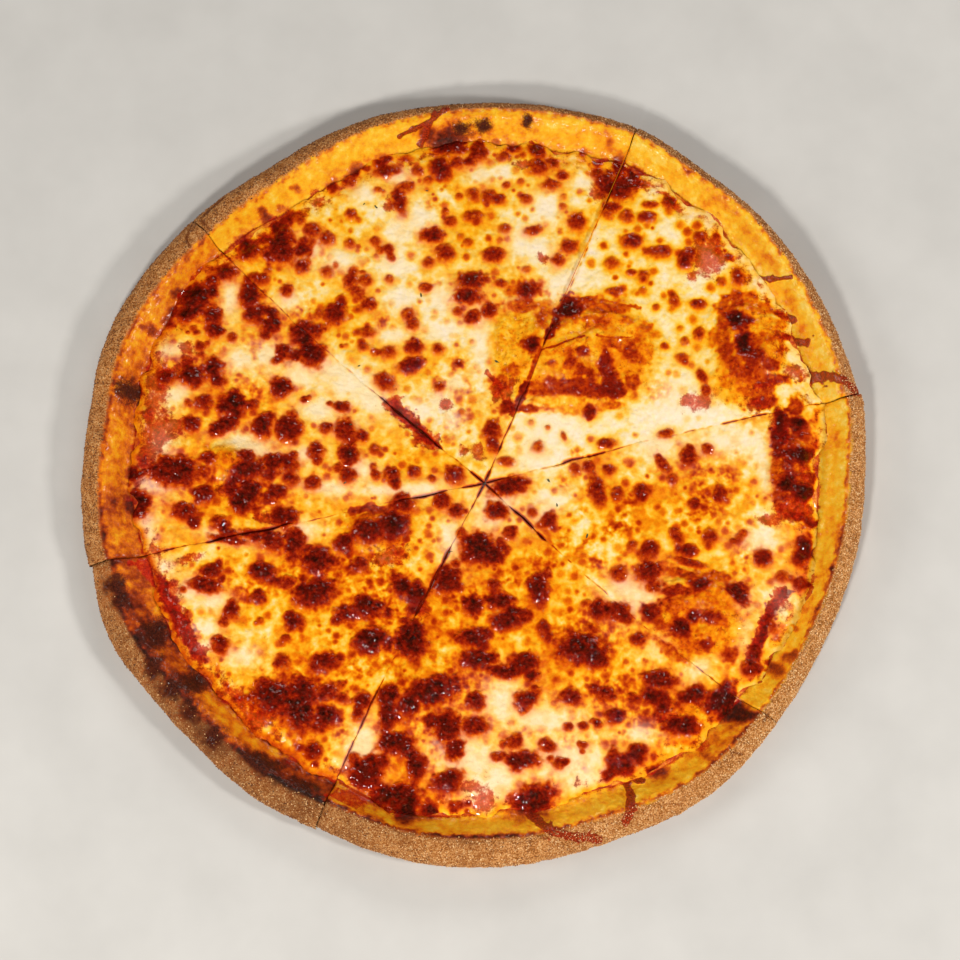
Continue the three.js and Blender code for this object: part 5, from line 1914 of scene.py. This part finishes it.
cheese = Finish("melted_browned_cheese")
grain = cheese.noise(0.9, 3.0, 0.55)
patch = cheese.noise(2.8, 2.0, 0.55, 0.3)
glint = cheese.noise(1.7, 1.0, 0.4, 0.7)
speckle, mottle = grain - 0.5, patch - 0.5
toast = cheese.field("toast")
browned = cheese.field("brown")
shade_at = toast + speckle * (0.04 + 0.13 * browned) + mottle * 0.16
shade = cheese.ramp(shade_at.clamped(), BROWNING)
pale = cheese.field("pale") * 0.5
shade = cheese.blend(pale * (1.0 - browned), shade, colour(254, 234, 206))
red = (cheese.field("sauce") + speckle * 0.8 + mottle * 1.1).stepped(0.28, 0.82)
red_at = 0.40 + toast * 0.35 + mottle * 0.9 + speckle * 0.6
shade = cheese.blend(red * 0.86, shade, cheese.ramp(red_at.clamped(), REDDENING))
char = (cheese.field("char") + speckle * 0.9 + mottle * 0.5).stepped(0.30, 0.95)
black = cheese.ramp(grain, [(0.35, colour(22, 9, 6)), (0.7, colour(84, 30, 14))])
shade = cheese.blend(char, shade, black)
relief = glint * (0.40 + browned * 1.4) + patch * 0.5 + grain * browned * 0.10
wet = cheese.noise(2.2, 2.0, 0.5, 0.9).stepped(0.46, 0.58)
cheese.set(
    Base_Color=shade,
    Roughness=(0.55 - 0.25 * wet + 0.3 * char).at_most(0.8),
    Specular_IOR_Level=0.09,
    Specular_Tint=colour(255, 200, 140),
    Normal=cheese.bump(relief, 0.85, 0.9),
    Coat_Weight=(0.20 + 0.30 * browned) * wet,
    Coat_Roughness=0.04,
    Subsurface_Weight=0.03,
    Subsurface_Radius=(1.0, 0.45, 0.2),
    Subsurface_Scale=0.0012,
)
cheese.give_to(*cheese_pieces)
print(len(cheese.tree.nodes), "nodes in the cheese")

# %% [markdown]
# ## Sauce
#
# Baked tomato sauce is dark and wet, brighter in soft patches.

# %% Sauce finish
sauce = Finish("wet_tomato_sauce")
grain = sauce.noise(1.1, 4.0, 0.6)
depth = sauce.field("toast") * 0.6 + grain * 0.5
shade = sauce.ramp(depth, [
    (0.20, colour(92, 8, 3)),
    (0.40, colour(158, 24, 6)),
    (0.54, colour(206, 78, 14)),
    (0.70, colour(240, 150, 34)),
])
sauce.set(
    Base_Color=shade,
    Roughness=0.32 + 0.2 * grain,
    Specular_IOR_Level=0.2,
    Normal=sauce.bump(sauce.noise(1.5, 1.0, 0.4), 0.8, 0.8),
    Coat_Weight=0.45,
    Coat_Roughness=0.1,
)
sauce.give_to(*[o for o in bpy.data.objects if o.name.startswith("tomato_sauce_")])
print(len(sauce.tree.nodes), "nodes in the sauce")

# %% [markdown]
# ## Crust
#
# Three looks share one dough: the oily golden inner slope, the toasted crest and the dull outer
# side full of semolina dust.

# %% Crust finish
BAKING = [
    (0.00, colour(255, 218, 96)),
    (0.13, colour(255, 196, 40)),
    (0.27, colour(250, 168, 20)),
    (0.41, colour(232, 120, 10)),
    (0.56, colour(180, 68, 10)),
    (0.70, colour(122, 34, 8)),
    (0.85, colour(72, 22, 10)),
    (1.00, colour(36, 16, 10)),
]

crust = Finish("baked_dough")
grain = crust.noise(0.7, 3.0, 0.6)
patch = crust.noise(3.0, 4.0, 0.6, 0.4)
speckle, mottle = grain - 0.5, patch - 0.5
toast = crust.field("toast")
dusted = crust.field("dusted")
oiled_at = toast + mottle * 0.44 + speckle * 0.18
oiled = crust.ramp(oiled_at.clamped(), BAKING)
dusty = crust.ramp(grain + mottle * 0.4, [
    (0.32, colour(112, 58, 22)),
    (0.46, colour(178, 110, 52)),
    (0.58, colour(220, 156, 92)),
    (0.74, colour(246, 200, 140)),
])
# High toast darkens the dust: burnt at the lower left, painted shade at the upper right and the top.
scorch_and_shade = (toast - 0.38 + speckle * 0.3).clamped() * 1.7
burnt_and_shaded_dust = crust.blend(scorch_and_shade.at_most(0.85), dusty, colour(88, 40, 14))
shade = crust.blend((dusted + speckle * 0.5).clamped(), oiled, burnt_and_shaded_dust)
red = (crust.field("sauce") + speckle * 0.7 + mottle * 0.8).stepped(0.30, 0.85)
red_at = 0.45 + mottle * 0.9 + speckle * 0.5
shade = crust.blend(red * 0.88, shade, crust.ramp(red_at.clamped(), REDDENING))
string_shade = crust.ramp(grain, [(0.35, colour(90, 12, 4)), (0.65, colour(190, 54, 8))])
string = (crust.field("strings") + speckle * 0.5).stepped(0.15, 0.60)
shade = crust.blend(string * 0.95, shade, string_shade)
char = (crust.field("char") + speckle * 1.0 + mottle * 0.7).stepped(0.30, 1.0)
black = crust.ramp(grain, [(0.35, colour(32, 10, 5)), (0.7, colour(104, 38, 14))])
shade = crust.blend(char, shade, black)
shade = crust.blend(crust.field("cracks") * 0.8, shade, colour(112, 50, 18))
crust.set(
    Base_Color=shade,
    Roughness=(0.40 + 0.45 * dusted + 0.3 * char).at_most(0.9),
    Specular_IOR_Level=0.12,
    Normal=crust.bump(grain * (0.35 + 0.8 * dusted) + patch * 0.6 + char * grain, 0.8, 0.7),
    Coat_Weight=(0.22 - 0.3 * dusted).clamped(),
    Coat_Roughness=0.18,
    Subsurface_Weight=0.04,
    Subsurface_Radius=(1.0, 0.45, 0.2),
    Subsurface_Scale=0.001,
)
crust.give_to(*[o for o in bpy.data.objects if o.name.startswith("baked_crust_")])
print(len(crust.tree.nodes), "nodes in the crust")

# %% [markdown]
# ## Semolina and herbs
#
# Some grains of semolina toasted darker than others, and the grains on the rim's side turned from
# the light carry painted shade; the tone of each grain holds both. The herb is dry, dull and dark.

# %% Semolina and herb finishes
semolina_finish = Finish("toasted_semolina")
tone = semolina_finish.field("tone") + (semolina_finish.noise(0.5) - 0.5) * 0.3
semolina_finish.set(
    Base_Color=semolina_finish.ramp(tone, [
        (0.05, colour(96, 52, 22)),
        (0.30, colour(170, 108, 52)),
        (0.60, colour(222, 164, 100)),
        (0.95, colour(250, 214, 158)),
    ]),
    Roughness=0.7 + 0.15 * tone,
)
semolina_finish.give_to(semolina)

herb_finish = Finish("dried_herb")
herb_finish.set(
    Base_Color=herb_finish.ramp(herb_finish.noise(0.4), [
        (0.35, colour(34, 32, 12)),
        (0.65, colour(86, 84, 34)),
    ]),
    Roughness=0.5 + 0.2 * herb_finish.noise(0.6),
)
herb_finish.give_to(herbs)
print("materials:", len(bpy.data.materials))

# %% [markdown]
# ## Floor and light
#
# A plain pale floor shows the food as it is. It lies a hair below the underside, so that the two
# never share a place.

# %% Floor
FLOOR_SIZE = 6.0
FLOOR_DROP = 0.0002
bpy.ops.object.select_all(action="DESELECT")
bpy.ops.mesh.primitive_plane_add(size=FLOOR_SIZE, location=(0, 0, -FLOOR_DROP))
floor = bpy.context.object
floor.name = "studio_floor"
floor_finish = Finish("pale_floor")
floor_finish.set(
    Base_Color=floor_finish.ramp(floor_finish.noise(40.0), [
        (0.3, colour(204, 202, 198)),
        (0.7, colour(212, 210, 206)),
    ]),
    Roughness=0.8,
)
floor_finish.give_to(floor)
print("floor:", FLOOR_SIZE, "m")

# %% [markdown]
# Four lights do the work of a studio, and a faint warm world fills in between them. Two small
# square ones, in front of the pizza at the left and at the right, put the glints on the blisters.
# A wide one behind it and one at its left keep the shadows soft.

# %% Lights
# Each light: place and size in metres, power in watts, tint.
LIGHTS = {
    "left_fill": ((-1.25, -0.15, 0.65), (0.5, 0.4), 6.0, (1.0, 0.97, 0.93)),
    "key_light": ((-0.40, -0.95, 0.95), (0.18, 0.18), 11.6, (1.0, 0.97, 0.92)),
    "far_fill": ((0.35, 1.2, 0.75), (0.9, 0.3), 6.5, (1.0, 0.97, 0.93)),
    "right_spark": ((1.1, -0.35, 0.8), (0.18, 0.18), 10.0, (1.0, 0.97, 0.93)),
}
WORLD_TINT = (1.0, 0.97, 0.94, 1.0)
WORLD_STRENGTH = 0.08


def soft_light(name, place, size, power, tint):
    light = bpy.data.lights.new(name, "AREA")
    light.shape = "RECTANGLE"
    light.size, light.size_y = size
    light.energy = power
    light.color = tint
    lamp = bpy.data.objects.new(name, light)
    bpy.context.scene.collection.objects.link(lamp)
    lamp.location = place
    lamp.rotation_euler = (-Vector(place)).to_track_quat("-Z", "Y").to_euler()


for name, light in LIGHTS.items():
    soft_light(name, *light)

world = bpy.data.worlds.new("studio")
world.use_nodes = True
background = world.node_tree.nodes["Background"]
background.inputs["Color"].default_value = WORLD_TINT
background.inputs["Strength"].default_value = WORLD_STRENGTH
bpy.context.scene.world = world
bpy.context.scene.view_settings.view_transform = "Standard"
print("lights:", len(bpy.data.lights))
